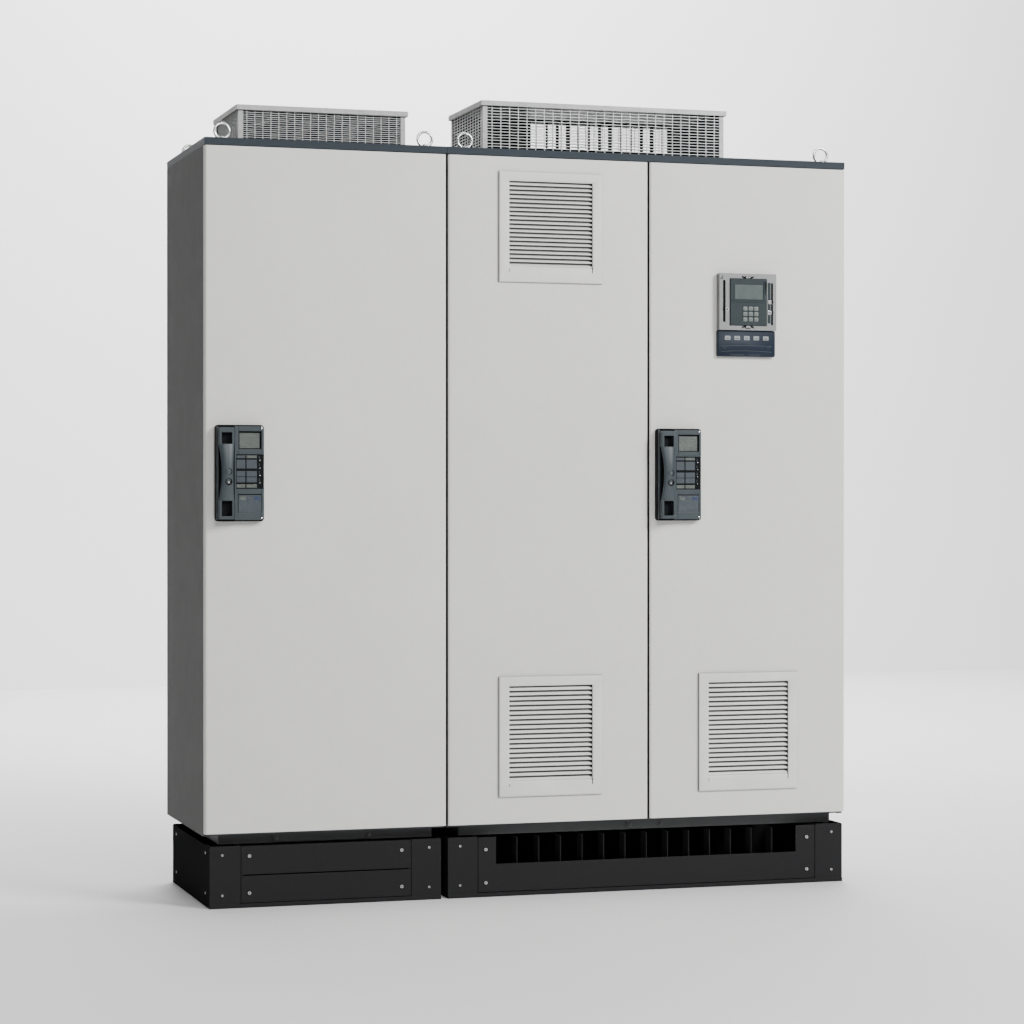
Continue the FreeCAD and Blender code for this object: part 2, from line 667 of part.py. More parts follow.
def keypad_bezel():
    """Metal bezel with the keypad's window and a long slot on each side of it."""
    x0, x1, z0, z1 = BEZEL
    front = DOOR_FRONT - BEZEL_PROUD
    plate = rounded_plate(x0, x1, z0, z1, 3, front, DOOR_FRONT)
    kx0, kx1, kz0, kz1 = KEYPAD
    cuts = [box(kx0, kx1, front, DOOR_FRONT, kz0, kz1)]
    for slot_x in (x0 + 14, x1 - 20):
        cuts.append(box(slot_x, slot_x + 6, front, front + 12, z0 + 22, z1 - 22))
    for clip_z in (kz1, kz0 - 7):
        cuts.append(box((x0 + x1) / 2 - 18, (x0 + x1) / 2 + 18, front, front + 8, clip_z, clip_z + 7))
    return cut(plate, cuts)


def key_places():
    for row in range(3):
        for column in range(3):
            yield KEY_MIDDLE + (column - 1) * KEY_PITCH_X, KEY_TOP_ROW - row * KEY_PITCH_Z


def keypad_body():
    x0, x1, z0, z1 = KEYPAD
    front = DOOR_FRONT - KEYPAD_PROUD
    body = box(x0, x1, front, DOOR_FRONT, z0, z1)
    dx0, dx1, dz0, dz1 = DISPLAY
    cuts = [box(dx0, dx1, front, front + 3, dz0, dz1)]
    half_x = KEY_SIZE[0] / 2 + 0.1
    half_z = KEY_SIZE[1] / 2 + 0.1
    for x, z in key_places():
        cuts.append(box(x - half_x, x + half_x, front, front + 7.5, z - half_z, z + half_z))
    return cut(body, cuts)


def keypad_display():
    x0, x1, z0, z1 = DISPLAY
    front = DOOR_FRONT - KEYPAD_PROUD
    return box(x0, x1, front + 1, front + 3, z0, z1)


def key(x, z):
    front = DOOR_FRONT - KEYPAD_PROUD
    half_x = KEY_SIZE[0] / 2
    half_z = KEY_SIZE[1] / 2
    return rounded_plate(x - half_x, x + half_x, z - half_z, z + half_z, 2, front - KEY_PROUD, front + 5)


def strip_lamps():
    """Five lamp lenses in a row, let into the strip."""
    x0, x1, z0, z1 = STRIP
    front = DOOR_FRONT - STRIP_PROUD
    lamps = []
    for k in range(1, 6):
        x = x0 + (x1 - x0) * k / 6
        lamps.append(box(x - 9, x + 9, front - 1, front + 3, z1 - 28, z1 - 16))
    return lamps


def keypad_strip():
    x0, x1, z0, z1 = STRIP
    front = DOOR_FRONT - STRIP_PROUD
    plate = rounded_plate(x0, x1, z0, z1, 3, front, DOOR_FRONT)
    groove = box(x0 + 14, x1 - 14, front, front + 1.5, z0 + 32, z0 + 34)
    return cut(plate, strip_lamps() + [groove])


# ---------------------------------------------------------------- inside

MOUNTING_PLATE_Y = 200.0


def mounting_plate(side):
    """Sheet with four stays that reach back to the rear posts."""
    x0, x1 = CABINETS[side]
    x0 += SHEET
    x1 -= SHEET
    y = MOUNTING_PLATE_Y
    pieces = [box(x0 + 12, x1 - 12, y, y + 3, 270, 2080)]
    for x in (x0 + 12, x1 - 40):
        for z in (400.0, 1900.0):
            pieces.append(box(x, x + 28, y + 3, FRAME_REAR - PROFILE, z, z + 40))
    return pieces


SWITCH_X = -625.0
SWITCH_Z = 1620.0


def main_switch():
    """Switch housing with arc-chute ribs, terminals above and below, and a bearing for the knob."""
    y = MOUNTING_PLATE_Y
    housing = box(SWITCH_X - 150, SWITCH_X + 150, y - 130, y, SWITCH_Z - 110, SWITCH_Z + 110)
    poles = []
    for k in range(3):
        x = SWITCH_X - 100 + 100 * k
        for z in (SWITCH_Z - 150, SWITCH_Z + 110):
            poles.append(box(x - 18, x + 18, y - 60, y - 54, z, z + 40))
    shape = fuse([housing] + poles)
    return shape.cut(cylinder_y(SWITCH_X, SWITCH_Z, 8 + RUNNING_FIT, y - 130, y - 100))


def main_switch_knob():
    y = MOUNTING_PLATE_Y - 130
    disc = cylinder_y(SWITCH_X, SWITCH_Z, 34, y - 14, y - 1)
    grip = box(SWITCH_X - 7, SWITCH_X + 7, y - 38, y - 14, SWITCH_Z - 32, SWITCH_Z + 32)
    shaft = cylinder_y(SWITCH_X, SWITCH_Z, 8, y - 1, y + 28)
    return fuse([disc, grip, shaft])


def line_choke():
    """Three-limb core with a coil on each limb, on the floor sheet of the left cabinet."""
    z = FRAME_BOTTOM + PROFILE + SHEET
    x = SWITCH_X
    y0 = 40.0
    y1 = 150.0
    core = box(x - 210, x + 210, y0, y1, z, z + 340)
    windows = [box(x + s * 70 - 35, x + s * 70 + 35, y0, y1, z + 60, z + 280) for s in (-1, 1)]
    coils = []
    for k in (-1, 0, 1):
        limb_x = x + 140 * k
        coil = box(limb_x - 66, limb_x + 66, y0 - 28, y1 + 28, z + 66, z + 274)
        coils.append(coil.cut(box(limb_x - 36, limb_x + 36, y0 - 1, y1 + 1, z + 66, z + 274)))
    return [cut(core, windows)] + coils


def power_modules():
    """Three finned power modules side by side on the right mounting plate."""
    modules = []
    for k in range(3):
        x0 = -150.0 + 350 * k
        housing = box(x0, x0 + 310, -20, MOUNTING_PLATE_Y, 700, 1500)
        slots = [box(x0 + 22 + 30 * s, x0 + 40 + 30 * s, 20, 180, 700, 1500) for s in range(9)]
        modules.append(cut(housing, slots))
    return modules


# ---------------------------------------------------------------- nodes

def nodes():
    """Every node's name with its solids."""
    yield "plinth_left_frame", floor_flanges("left") + plinth_posts("left")
    yield "plinth_right_frame", floor_flanges("right") + plinth_posts("right") + plinth_fins()
    yield "plinth_left_panels", plinth_covers("left") + left_front_panels()
    yield "plinth_right_panels", plinth_covers("right")
    yield "plinth_right_front", [right_front_panel()]
    yield "panel_screws", plinth_screws()
    yield "gland_plates", [gland_plate("left"), gland_plate("right")]
    yield "lifting_eyes", [lifting_eye(x, y) for x in EYE_X for y in EYE_Y]
    yield "hinge_brackets", [hinge_bracket(name, level) for name in DOORS for level in HINGE_LEVELS]
    for side in ("left", "right"):
        yield "frame_" + side, frame(side)
        yield "side_panel_" + side, [side_panel(side)]
        yield "rear_panel_" + side, [rear_panel(side)]
        yield "roof_" + side, [roof(side)]
        yield "hood_frame_" + side, hood_frame(side)
        yield "hood_screens_" + side, hood_screens(side)
        yield "hood_lid_" + side, [hood_lid(side)]
        yield "fan_rotor_" + side, [fan_rotor(side)]
        yield "mounting_plate_" + side, mounting_plate(side)
        yield "handle_plate_" + side, [handle_plate(side)]
        yield "handle_lever_" + side, [handle_lever(side)]
        yield "lock_rod_up_" + side, [lock_rod(side, "up")]
        yield "lock_rod_down_" + side, [lock_rod(side, "down")]
    yield "fan_housings", [fan_housing("left"), fan_housing("right")]
    for name in DOORS:
        yield "door_" + name, [door(name)]
    for name in GRILLES:
        yield "grille_" + name, [grille(name)]
    yield "keypad_bezel", [keypad_bezel()]
    yield "keypad_body", [keypad_body()]
    yield "keypad_display", [keypad_display()]
    yield "keypad_strip", [keypad_strip()]
    yield "strip_lamps", strip_lamps()
    for number, (x, z) in enumerate(key_places(), start=1):
        yield "key_" + str(number), [key(x, z)]
    yield "main_switch", [main_switch()]
    yield "main_switch_knob", [main_switch_knob()]
    yield "line_choke", line_choke()
    yield "power_modules", power_modules()


os.makedirs("parts", exist_ok=True)
for node_name, solids in nodes():
    shape = solids[0] if len(solids) == 1 else Part.makeCompound(solids)
    shape.exportStep("parts/" + node_name + ".step")
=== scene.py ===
import json
import math
import random
from collections import namedtuple

import bmesh
import bpy
from mathutils import Matrix, Vector


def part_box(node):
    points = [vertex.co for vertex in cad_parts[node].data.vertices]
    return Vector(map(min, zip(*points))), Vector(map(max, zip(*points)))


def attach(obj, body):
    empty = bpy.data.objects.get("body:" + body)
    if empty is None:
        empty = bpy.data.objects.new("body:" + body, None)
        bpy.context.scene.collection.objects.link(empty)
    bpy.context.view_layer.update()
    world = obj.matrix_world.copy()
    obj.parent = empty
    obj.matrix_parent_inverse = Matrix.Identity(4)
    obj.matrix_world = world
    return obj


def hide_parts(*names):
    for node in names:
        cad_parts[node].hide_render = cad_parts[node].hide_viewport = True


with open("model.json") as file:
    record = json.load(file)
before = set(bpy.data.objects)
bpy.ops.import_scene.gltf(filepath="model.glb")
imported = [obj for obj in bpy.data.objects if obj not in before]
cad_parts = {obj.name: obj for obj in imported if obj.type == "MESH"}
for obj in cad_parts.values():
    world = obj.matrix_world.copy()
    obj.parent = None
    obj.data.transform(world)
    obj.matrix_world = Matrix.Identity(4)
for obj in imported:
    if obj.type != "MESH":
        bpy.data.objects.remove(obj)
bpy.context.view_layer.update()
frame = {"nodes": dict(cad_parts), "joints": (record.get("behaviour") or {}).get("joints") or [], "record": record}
NODES = frame["nodes"]
random.seed(20)

# The scene is in metres. Pieces are drawn in millimetres, and Piece converts them.
MM = 0.001
SAME_POINT = 1e-6
WELD_DISTANCE = 0.02 * MM
FORWARD = (0, -1, 0)
UP = (0, 0, 1)
Corner = namedtuple("Corner", "x y z")


# ------------------------------------------------------------------ node helpers

class Look:
    """A material under construction: short names for the few nodes that the finishes share."""

    def __init__(self, name):
        self.material = bpy.data.materials.new(name)
        self.material.use_nodes = True
        self.tree = self.material.node_tree
        self.shader = self.tree.nodes["Principled BSDF"]
        self.place = self.tree.nodes.new("ShaderNodeTexCoord").outputs["Object"]
        self.bump_out = None

    def link(self, a, b):
        self.tree.links.new(a, b)

    def noise(self, scale, detail=3.0, stretch=None, roughness=0.5):
        node = self.tree.nodes.new("ShaderNodeTexNoise")
        node.inputs["Scale"].default_value = scale
        node.inputs["Detail"].default_value = detail
        node.inputs["Roughness"].default_value = roughness
        self.link(self.stretched(stretch) if stretch else self.place, node.inputs["Vector"])
        return node.outputs["Fac"]

    def stretched(self, stretch):
        mapping = self.tree.nodes.new("ShaderNodeMapping")
        mapping.inputs["Scale"].default_value = stretch
        self.link(self.place, mapping.inputs["Vector"])
        return mapping.outputs["Vector"]

    def cells(self, scale):
        node = self.tree.nodes.new("ShaderNodeTexVoronoi")
        node.inputs["Scale"].default_value = scale
        self.link(self.place, node.inputs["Vector"])
        return node.outputs["Distance"]

    def ramp(self, value, stops):
        node = self.tree.nodes.new("ShaderNodeValToRGB")
        elements = node.color_ramp.elements
        while len(elements) < len(stops):
            elements.new(0.5)
        for element, (position, colour) in zip(elements, stops):
            element.position = position
            element.color = (*colour, 1.0) if len(colour) == 3 else colour
        self.link(value, node.inputs["Fac"])
        return node.outputs["Color"]

    def spread(self, value, low, high):
        node = self.tree.nodes.new("ShaderNodeMapRange")
        node.inputs["To Min"].default_value = low
        node.inputs["To Max"].default_value = high
        self.link(value, node.inputs["Value"])
        return node.outputs["Result"]

    def mix(self, a, b, factor, mode="MIX"):
        node = self.tree.nodes.new("ShaderNodeMix")
        node.data_type = "RGBA"
        node.blend_type = mode
        node.inputs["Factor"].default_value = factor
        self.link(a, node.inputs["A"])
        self.link(b, node.inputs["B"])
        return node.outputs["Result"]

    def bump(self, height, strength, distance):
        node = self.tree.nodes.new("ShaderNodeBump")
        node.inputs["Strength"].default_value = strength
        node.inputs["Distance"].default_value = distance
        self.link(height, node.inputs["Height"])
        if self.bump_out:
            self.link(self.bump_out, node.inputs["Normal"])
        self.bump_out = node.outputs["Normal"]
        self.link(self.bump_out, self.shader.inputs["Normal"])

    def edge_wear(self, colour, worn, amount):
        """Lightens a narrow, broken band along the edges, where paint and plastic rub."""
        rounded = self.tree.nodes.new("ShaderNodeBevel")
        rounded.samples = 4
        rounded.inputs["Radius"].default_value = 1.6 * MM
        flat = self.tree.nodes.new("ShaderNodeNewGeometry")
        match = self.tree.nodes.new("ShaderNodeVectorMath")
        match.operation = "DOT_PRODUCT"
        self.link(rounded.outputs["Normal"], match.inputs[0])
        self.link(flat.outputs["Normal"], match.inputs[1])
        band = self.ramp(match.outputs["Value"], [(0.90, (amount,) * 3), (0.99, (0, 0, 0))])
        chips = self.ramp(self.noise(160.0, 4.0), [(0.35, (0, 0, 0)), (0.6, (1, 1, 1))])
        mask = self.mix(band, chips, 1.0, "MULTIPLY")
        blend = self.tree.nodes.new("ShaderNodeMix")
        blend.data_type = "RGBA"
        self.link(mask, blend.inputs["Factor"])
        self.link(colour, blend.inputs["A"])
        blend.inputs["B"].default_value = (*worn, 1.0)
        return blend.outputs["Result"]

    def colour(self, output):
        self.link(output, self.shader.inputs["Base Color"])

    def rough(self, value, low, high):
        self.link(self.spread(value, low, high), self.shader.inputs["Roughness"])

    def metal(self, amount):
        self.shader.inputs["Metallic"].default_value = amount

    def gloss(self, level):
        self.shader.inputs["Specular IOR Level"].default_value = level


def shade(colour, factor):
    """A lighter or darker tone of a colour."""
    return tuple(min(1.0, c * factor) for c in colour)


# ------------------------------------------------------------------ materials

def powder_coat(name, colour, rough=0.42, grain=900.0, worn=None, gloss=0.5):
    """Textured powder coat: faint large clouds, an orange-peel grain and rubbed edges."""
    look = Look(name)
    tone = look.ramp(look.noise(2.2, 4.0), [(0.3, shade(colour, 0.965)), (0.7, shade(colour, 1.02))])
    dust = look.ramp(look.noise(38.0, 6.0, roughness=0.7), [(0.35, (0.97, 0.97, 0.965)), (0.65, (1, 1, 1))])
    mixed = look.mix(tone, dust, 1.0, "MULTIPLY")
    look.colour(look.edge_wear(mixed, worn or shade(colour, 1.15), 0.5))
    look.rough(look.noise(14.0, 3.0), rough - 0.05, rough + 0.07)
    look.bump(look.noise(grain, 2.0), 0.22, 0.12 * MM)
    look.gloss(gloss)
    return look.material


def moulded_plastic(name, colour, rough=0.45, grain=2600.0, metal=0.0, gloss=0.5):
    """Spark-eroded plastic: fine even grain, slightly polished where it is touched."""
    look = Look(name)
    tone = look.ramp(look.noise(9.0, 4.0), [(0.3, shade(colour, 0.94)), (0.7, shade(colour, 1.06))])
    look.colour(look.edge_wear(tone, shade(colour, 1.45), 0.35))
    look.rough(look.noise(30.0, 4.0), rough - 0.07, rough + 0.08)
    look.bump(look.noise(grain, 2.0), 0.18, 0.06 * MM)
    look.metal(metal)
    look.gloss(gloss)
    return look.material


def galvanised(name, colour, rough=0.38, spangle=70.0):
    """Zinc-coated sheet: faint crystal spangle, drawn streaks and dull patches."""
    look = Look(name)
    crystals = look.ramp(look.cells(spangle), [(0.1, shade(colour, 0.90)), (0.6, shade(colour, 1.05))])
    drawn = look.noise(14.0, 5.0, stretch=(1.0, 1.0, 18.0))
    streaks = look.ramp(drawn, [(0.3, (0.93,) * 3), (0.7, (1, 1, 1))])
    look.colour(look.mix(crystals, streaks, 1.0, "MULTIPLY"))
    look.rough(look.noise(26.0, 5.0), rough - 0.08, rough + 0.12)
    look.bump(look.noise(420.0, 3.0), 0.1, 0.08 * MM)
    look.metal(0.75)
    return look.material


def bright_steel(name, colour, rough=0.2):
    """Bare or plated steel, with fine scratches and uneven polish."""
    look = Look(name)
    look.colour(look.ramp(look.noise(60.0, 4.0), [(0.3, shade(colour, 0.86)), (0.7, shade(colour, 1.04))]))
    look.rough(look.noise(110.0, 4.0), rough - 0.06, rough + 0.14)
    look.bump(look.noise(900.0, 3.0), 0.08, 0.05 * MM)
    look.metal(1.0)
    return look.material


def display_glass(name, colour):
    """Liquid crystal window: a fine pixel grid under a glossy cover."""
    look = Look(name)
    tone = look.ramp(look.noise(40.0, 2.0), [(0.3, shade(colour, 0.93)), (0.7, shade(colour, 1.06))])
    grid = look.ramp(look.cells(900.0), [(0.2, (0.93,) * 3), (0.6, (1, 1, 1))])
    look.colour(look.mix(tone, grid, 1.0, "MULTIPLY"))
    look.rough(look.noise(70.0, 3.0), 0.16, 0.26)
    look.bump(look.noise(300.0, 2.0), 0.04, 0.03 * MM)
    look.shader.inputs["Coat Weight"].default_value = 0.35
    look.shader.inputs["Coat Roughness"].default_value = 0.12
    return look.material


def printed_label(name, paper, ink):
    """A label of generic dashes in rows, with no readable text. Some dashes are left unprinted."""
    look = Look(name)
    upright = look.tree.nodes.new("ShaderNodeMapping")
    upright.inputs["Rotation"].default_value = (math.radians(90), 0, 0)
    look.link(look.place, upright.inputs["Vector"])
    rows = look.tree.nodes.new("ShaderNodeTexBrick")
    look.link(upright.outputs["Vector"], rows.inputs["Vector"])
    sizes = {
        "Scale": 1.0,
        "Brick Width": 6.5 * MM,
        "Row Height": 3.4 * MM,
        "Mortar Size": 0.9 * MM,
        "Bias": -0.25,
    }
    colours = {"Color1": ink, "Color2": paper, "Mortar": paper}
    for socket, value in sizes.items():
        rows.inputs[socket].default_value = value
    for socket, value in colours.items():
        rows.inputs[socket].default_value = (*value, 1.0)
    tone = look.ramp(look.noise(18.0, 3.0), [(0.3, (0.92,) * 3), (0.7, (1, 1, 1))])
    look.colour(look.mix(rows.outputs["Color"], tone, 1.0, "MULTIPLY"))
    look.rough(look.noise(60.0, 3.0), 0.3, 0.45)
    look.bump(look.noise(800.0, 2.0), 0.05, 0.03 * MM)
    return look.material


def rubber(name, colour, rough=0.62):
    """Rubber, foam or felt: a dull surface with a soft fine grain."""
    look = Look(name)
    look.colour(look.ramp(look.noise(24.0, 4.0), [(0.3, shade(colour, 0.88)), (0.7, shade(colour, 1.08))]))
    look.rough(look.noise(60.0, 3.0), rough - 0.08, rough + 0.08)
    look.bump(look.noise(1600.0, 3.0), 0.15, 0.06 * MM)
    return look.material


def copper(name, colour, rough=0.34):
    """Drawn copper: streaks along the height, uneven tarnish."""
    look = Look(name)
    drawn = look.noise(22.0, 5.0, stretch=(1, 1, 6))
    look.colour(look.ramp(drawn, [(0.3, shade(colour, 0.8)), (0.7, shade(colour, 1.05))]))
    look.rough(look.noise(50.0, 4.0), rough - 0.1, rough + 0.15)
    look.bump(look.noise(700.0, 3.0), 0.08, 0.05 * MM)
    look.metal(1.0)
    return look.material


# ------------------------------------------------------------------ mesh helpers

class Piece:
    """One visible piece: solids gathered in a mesh, then bevelled, placed on its body and given finishes."""

    def __init__(self, name, body, *materials):
        self.name = name
        self.body = body
        self.materials = materials
        self.bm = bmesh.new()

    def point(self, place):
        """A new vertex at a place in millimetres."""
        return self.bm.verts.new([c * MM for c in place])

    def box(self, lo, hi, material=0):
        x0, y0, z0 = lo
        x1, y1, z1 = hi
        corners = [(x, y, z) for x in (x0, x1) for y in (y0, y1) for z in (z0, z1)]
        verts = [self.point(c) for c in corners]
        for ring in ((0, 1, 3, 2), (4, 6, 7, 5), (0, 4, 5, 1), (2, 3, 7, 6), (0, 2, 6, 4), (1, 5, 7, 3)):
            self.bm.faces.new([verts[i] for i in ring]).material_index = material

    def loft(self, rings, material=0, caps=True, closed=True):
        """Skin over rings of equally many points."""
        rows = [[self.point(p) for p in ring] for ring in rings]
        count = len(rows[0])
        steps = count if closed else count - 1
        for a, b in zip(rows, rows[1:]):
            for i in range(steps):
                j = (i + 1) % count
                self.bm.faces.new((a[i], a[j], b[j], b[i])).material_index = material
        if caps:
            self.bm.faces.new(list(reversed(rows[0]))).material_index = material
            self.bm.faces.new(rows[-1]).material_index = material

    def slab(self, outline, y0, y1, material=0):
        """A plate in the XZ plane from y0 to y1."""
        self.loft([at_depth(outline, y) for y in (y0, y1)], material)

    def frame(self, outer, window, y0, y1):
        """Four bars from y0 to y1 that fill the area between outer and window, both (x0, x1, z0, z1)."""
        x0, x1, z0, z1 = outer
        wx0, wx1, wz0, wz1 = window
        for a, b, c, d in ((x0, wx0, z0, z1), (wx1, x1, z0, z1), (wx0, wx1, z0, wz0), (wx0, wx1, wz1, z1)):
            self.box((a, y0, c), (b, y1, d))

    def bar_x(self, outline, x0, x1, material=0):
        """A bar along X whose section is drawn in the YZ plane."""
        self.loft([[(x, y, z) for y, z in outline] for x in (x0, x1)], material)

    def bar_z(self, outline, z0, z1, material=0):
        """A bar along Z whose section is drawn in the XY plane."""
        self.loft([[(x, y, z) for x, y in outline] for z in (z0, z1)], material)

    def turned(self, centre, axis, profile, material=0, sides=24):
        """A body of revolution: profile is (distance along the axis, radius)."""
        along = Vector(axis).normalized()
        across = along.orthogonal().normalized()
        other = along.cross(across)
        rings = []
        for distance, radius in profile:
            middle = Vector(centre) + along * distance
            ring = []
            for k in range(sides):
                turn = math.tau * k / sides
                ring.append(middle + (across * math.cos(turn) + other * math.sin(turn)) * radius)
            rings.append(ring)
        self.loft(rings, material)

    def ring(self, centre, axis, radius, wire, material=0, around=40, sides=14):
        """A round wire ring."""
        along = Vector(axis).normalized()
        across = along.orthogonal().normalized()
        other = along.cross(across)
        rows = []
        for i in range(around):
            turn = math.tau * i / around
            out = across * math.cos(turn) + other * math.sin(turn)
            row = []
            for k in range(sides):
                angle = math.tau * k / sides
                offset = out * (radius + wire * math.cos(angle)) + along * (wire * math.sin(angle))
                row.append(self.point(Vector(centre) + offset))
            rows.append(row)
        for i in range(around):
            a, b = rows[i], rows[(i + 1) % around]
            for k in range(sides):
                j = (k + 1) % sides
                self.bm.faces.new((a[k], b[k], b[j], a[j])).material_index = material

    def wire(self, points, radius, material=0, sides=8):
        """A round wire through points, with flat ends."""
        points = [Vector(p) for p in points]
        rings = []
        for i, point in enumerate(points):
            before = points[max(i - 1, 0)]
            after = points[min(i + 1, len(points) - 1)]
            along = (after - before).normalized()
            across = along.orthogonal().normalized()
            other = along.cross(across)
            turns = [math.tau * k / sides for k in range(sides)]
            rings.append([point + (across * math.cos(t) + other * math.sin(t)) * radius for t in turns])
        self.loft(rings, material)

    def done(self, bevel, replaces=(), angle=32.0, thickness=None):
        """Makes the object: rounded edges, sheet thickness, its body and what it stands in for."""
        bmesh.ops.recalc_face_normals(self.bm, faces=self.bm.faces)
        mesh = bpy.data.meshes.new(self.name)
        self.bm.to_mesh(mesh)
        self.bm.free()
        for polygon in mesh.polygons:
            polygon.use_smooth = True
        mesh.set_sharp_from_angle(angle=math.radians(angle))
        for material in self.materials:
            mesh.materials.append(material)
        piece = bpy.data.objects.new(self.name, mesh)
        bpy.context.scene.collection.objects.link(piece)
        if thickness:
            solidify = piece.modifiers.new("sheet", "SOLIDIFY")
            solidify.thickness = thickness * MM
            solidify.offset = -1.0
        if bevel:
            rounding = piece.modifiers.new("edges", "BEVEL")
            rounding.width = bevel * MM
            rounding.segments = 2
            rounding.limit_method = "ANGLE"
            rounding.angle_limit = math.radians(angle)
            rounding.harden_normals = True
        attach(piece, self.body)
        if replaces:
            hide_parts(*replaces)
        return piece


def mm(box):
    """A CAD node's box, (lowest corner, highest corner), in millimetres."""
    return [Corner(*(c / MM for c in corner)) for corner in box]


def at_depth(outline, y):
    """An (x, z) outline as points at one depth."""
    return [(x, y, z) for x, z in outline]


def inset_outline(lo, hi, inset, radius, steps=6):
    """The outline of a box's front face, drawn in by inset, with round corners."""
    return rounded_outline(lo.x + inset, hi.x - inset, lo.z + inset, hi.z - inset, radius, steps)


def rounded_outline(x0, x1, z0, z1, radius, steps=6):
    """A rectangle with round corners, as (x, z) points."""
    points = []
    corners = ((x1 - radius, z1 - radius, 0), (x0 + radius, z1 - radius, 90),
               (x0 + radius, z0 + radius, 180), (x1 - radius, z0 + radius, 270))
    for cx, cz, start in corners:
        for k in range(steps + 1):
            turn = math.radians(start + 90 * k / steps)
            points.append((cx + radius * math.cos(turn), cz + radius * math.sin(turn)))
    return points


def body_of(node):
    """The CAD body that a node belongs to."""
    bodies = frame["record"]["behaviour"]["bodies"]
    return next(body for body, members in bodies.items() if node in members)


def dress(node, material, bevel=0.0):
    """Shows a CAD node as it is, with a detailed finish and softened edges."""
    shown = NODES[node]
    shown.data.materials.clear()
    shown.data.materials.append(material)
    if bevel:
        weld = shown.modifiers.new("weld", "WELD")
        weld.merge_threshold = WELD_DISTANCE
        rounding = shown.modifiers.new("edges", "BEVEL")
        rounding.width = bevel * MM
        rounding.segments = 2
        rounding.limit_method = "ANGLE"
        rounding.angle_limit = math.radians(35)


# ------------------------------------------------------------------ finishes

DOOR_GREY = (0.63, 0.625, 0.60)
# Side and rear panels: the same light grey as the doors on the real cabinet, darkened here as painted shade for
# faces turned from the key light.
SIDE_SHADE_GREY = (0.085, 0.087, 0.084)
DOOR_PAINT = powder_coat("door_paint", DOOR_GREY)
SIDE_PAINT_SHADED = powder_coat("side_paint_painted_shade", SIDE_SHADE_GREY, rough=0.6, gloss=0.06)
ROOF_PAINT = powder_coat("roof_paint", (0.026, 0.034, 0.042), rough=0.5, worn=(0.16, 0.18, 0.2), gloss=0.12)
PLINTH_PAINT = powder_coat("plinth_paint", (0.021, 0.021, 0.022), 0.6, 700.0, (0.06, 0.06, 0.06), 0.0)
# Dark grey frame paint. Part of its darkness is painted shade for the door gaps and for the base rail set back
# under the doors.
RAIL_STEEL = powder_coat("rail_steel", (0.075, 0.078, 0.08), rough=0.5, worn=(0.12, 0.13, 0.14), gloss=0.2)
FRAME_STEEL = galvanised("frame_steel", (0.42, 0.43, 0.44))
HOOD_STEEL = galvanised("hood_steel", (0.27, 0.27, 0.267), rough=0.46)
# Near-black fan housings and hood sheets: painted shade for the hoods' dark insides.
FAN_STEEL_SHADE = powder_coat("fan_steel_painted_shade", (0.012, 0.014, 0.016), rough=0.6, gloss=0.1)
MESH_WIRE = bright_steel("mesh_wire", (0.66, 0.67, 0.67), rough=0.42)
BRIGHT_STEEL = bright_steel("bright_steel", (0.80, 0.80, 0.80))
DARK_STEEL = bright_steel("dark_steel", (0.10, 0.10, 0.105), rough=0.4)
SCREW_STEEL = bright_steel("screw_steel", (0.58, 0.58, 0.58), rough=0.32)
GRILLE_PLASTIC = moulded_plastic("grille_plastic", (0.62, 0.62, 0.585), rough=0.5)
# Filter felt behind the louvres, near-black as painted shade in the gaps between the blades.
FILTER_FELT_SHADE = rubber("filter_felt_painted_shade", (0.055, 0.056, 0.055), rough=0.9)
HANDLE_PLASTIC = moulded_plastic("handle_plastic", (0.030, 0.041, 0.047), rough=0.36)
# Near-black plastic: real dark parts, and painted shade in the handles' recesses, pockets, window backs and screw
# sockets and behind the keypad bezel.
DARK_PLASTIC_AND_SHADE = moulded_plastic("dark_plastic_and_painted_shade", (0.004, 0.005, 0.006), rough=0.6, gloss=0.08)
TILE_PLASTIC = moulded_plastic("tile_plastic", (0.036, 0.046, 0.056), rough=0.36)
LABEL_WARM = printed_label("label_warm", (0.10, 0.115, 0.105), (0.014, 0.018, 0.018))
LABEL_COOL = printed_label("label_cool", (0.05, 0.063, 0.072), (0.012, 0.018, 0.03))
TAB_BLUE = moulded_plastic("tab_blue", (0.012, 0.025, 0.07), rough=0.4)
BEZEL_METAL = moulded_plastic("bezel_metal", (0.18, 0.184, 0.184), rough=0.42, metal=0.4)
KEYPAD_PLASTIC = moulded_plastic("keypad_plastic", (0.026, 0.034, 0.037), rough=0.5, gloss=0.12)
DISPLAY_GLASS = display_glass("display_glass", (0.078, 0.099, 0.095))
KEY_RUBBER = rubber("key_rubber", (0.10, 0.118, 0.113), rough=0.5)
STRIP_PLASTIC = moulded_plastic("strip_plastic", (0.011, 0.017, 0.028), rough=0.45, gloss=0.15)
LAMP_LENS = display_glass("lamp_lens", (0.25, 0.27, 0.28))
# Black plastic: real black parts, and painted shade in screw sockets, holes, vents and slots.
BLACK_PLASTIC_AND_SHADE = moulded_plastic("black_plastic_and_painted_shade", (0.010, 0.010, 0.010), rough=0.48)
DEVICE_PLASTIC = moulded_plastic("device_plastic", (0.10, 0.105, 0.11), rough=0.5)
IRON_CORE = powder_coat("iron_core", (0.035, 0.03, 0.028), rough=0.5, grain=300.0)
COIL_COPPER = copper("coil_copper", (0.45, 0.20, 0.10))
BUSBAR_COPPER = copper("busbar_copper", (0.72, 0.38, 0.22))
# Black foam: the real door gasket and coil spacers, and also painted shade on the grille rims' outer side walls.
GASKET_FOAM_AND_SHADE = rubber("gasket_foam_and_painted_shade", (0.012, 0.012, 0.012), rough=0.85)
# Near-black used only as painted shade: in the seams between doors and at the grilles' dark edges and gaps.
PAINTED_SHADE_BLACK = rubber("painted_shade_black", (0.004, 0.004, 0.004), rough=0.9)


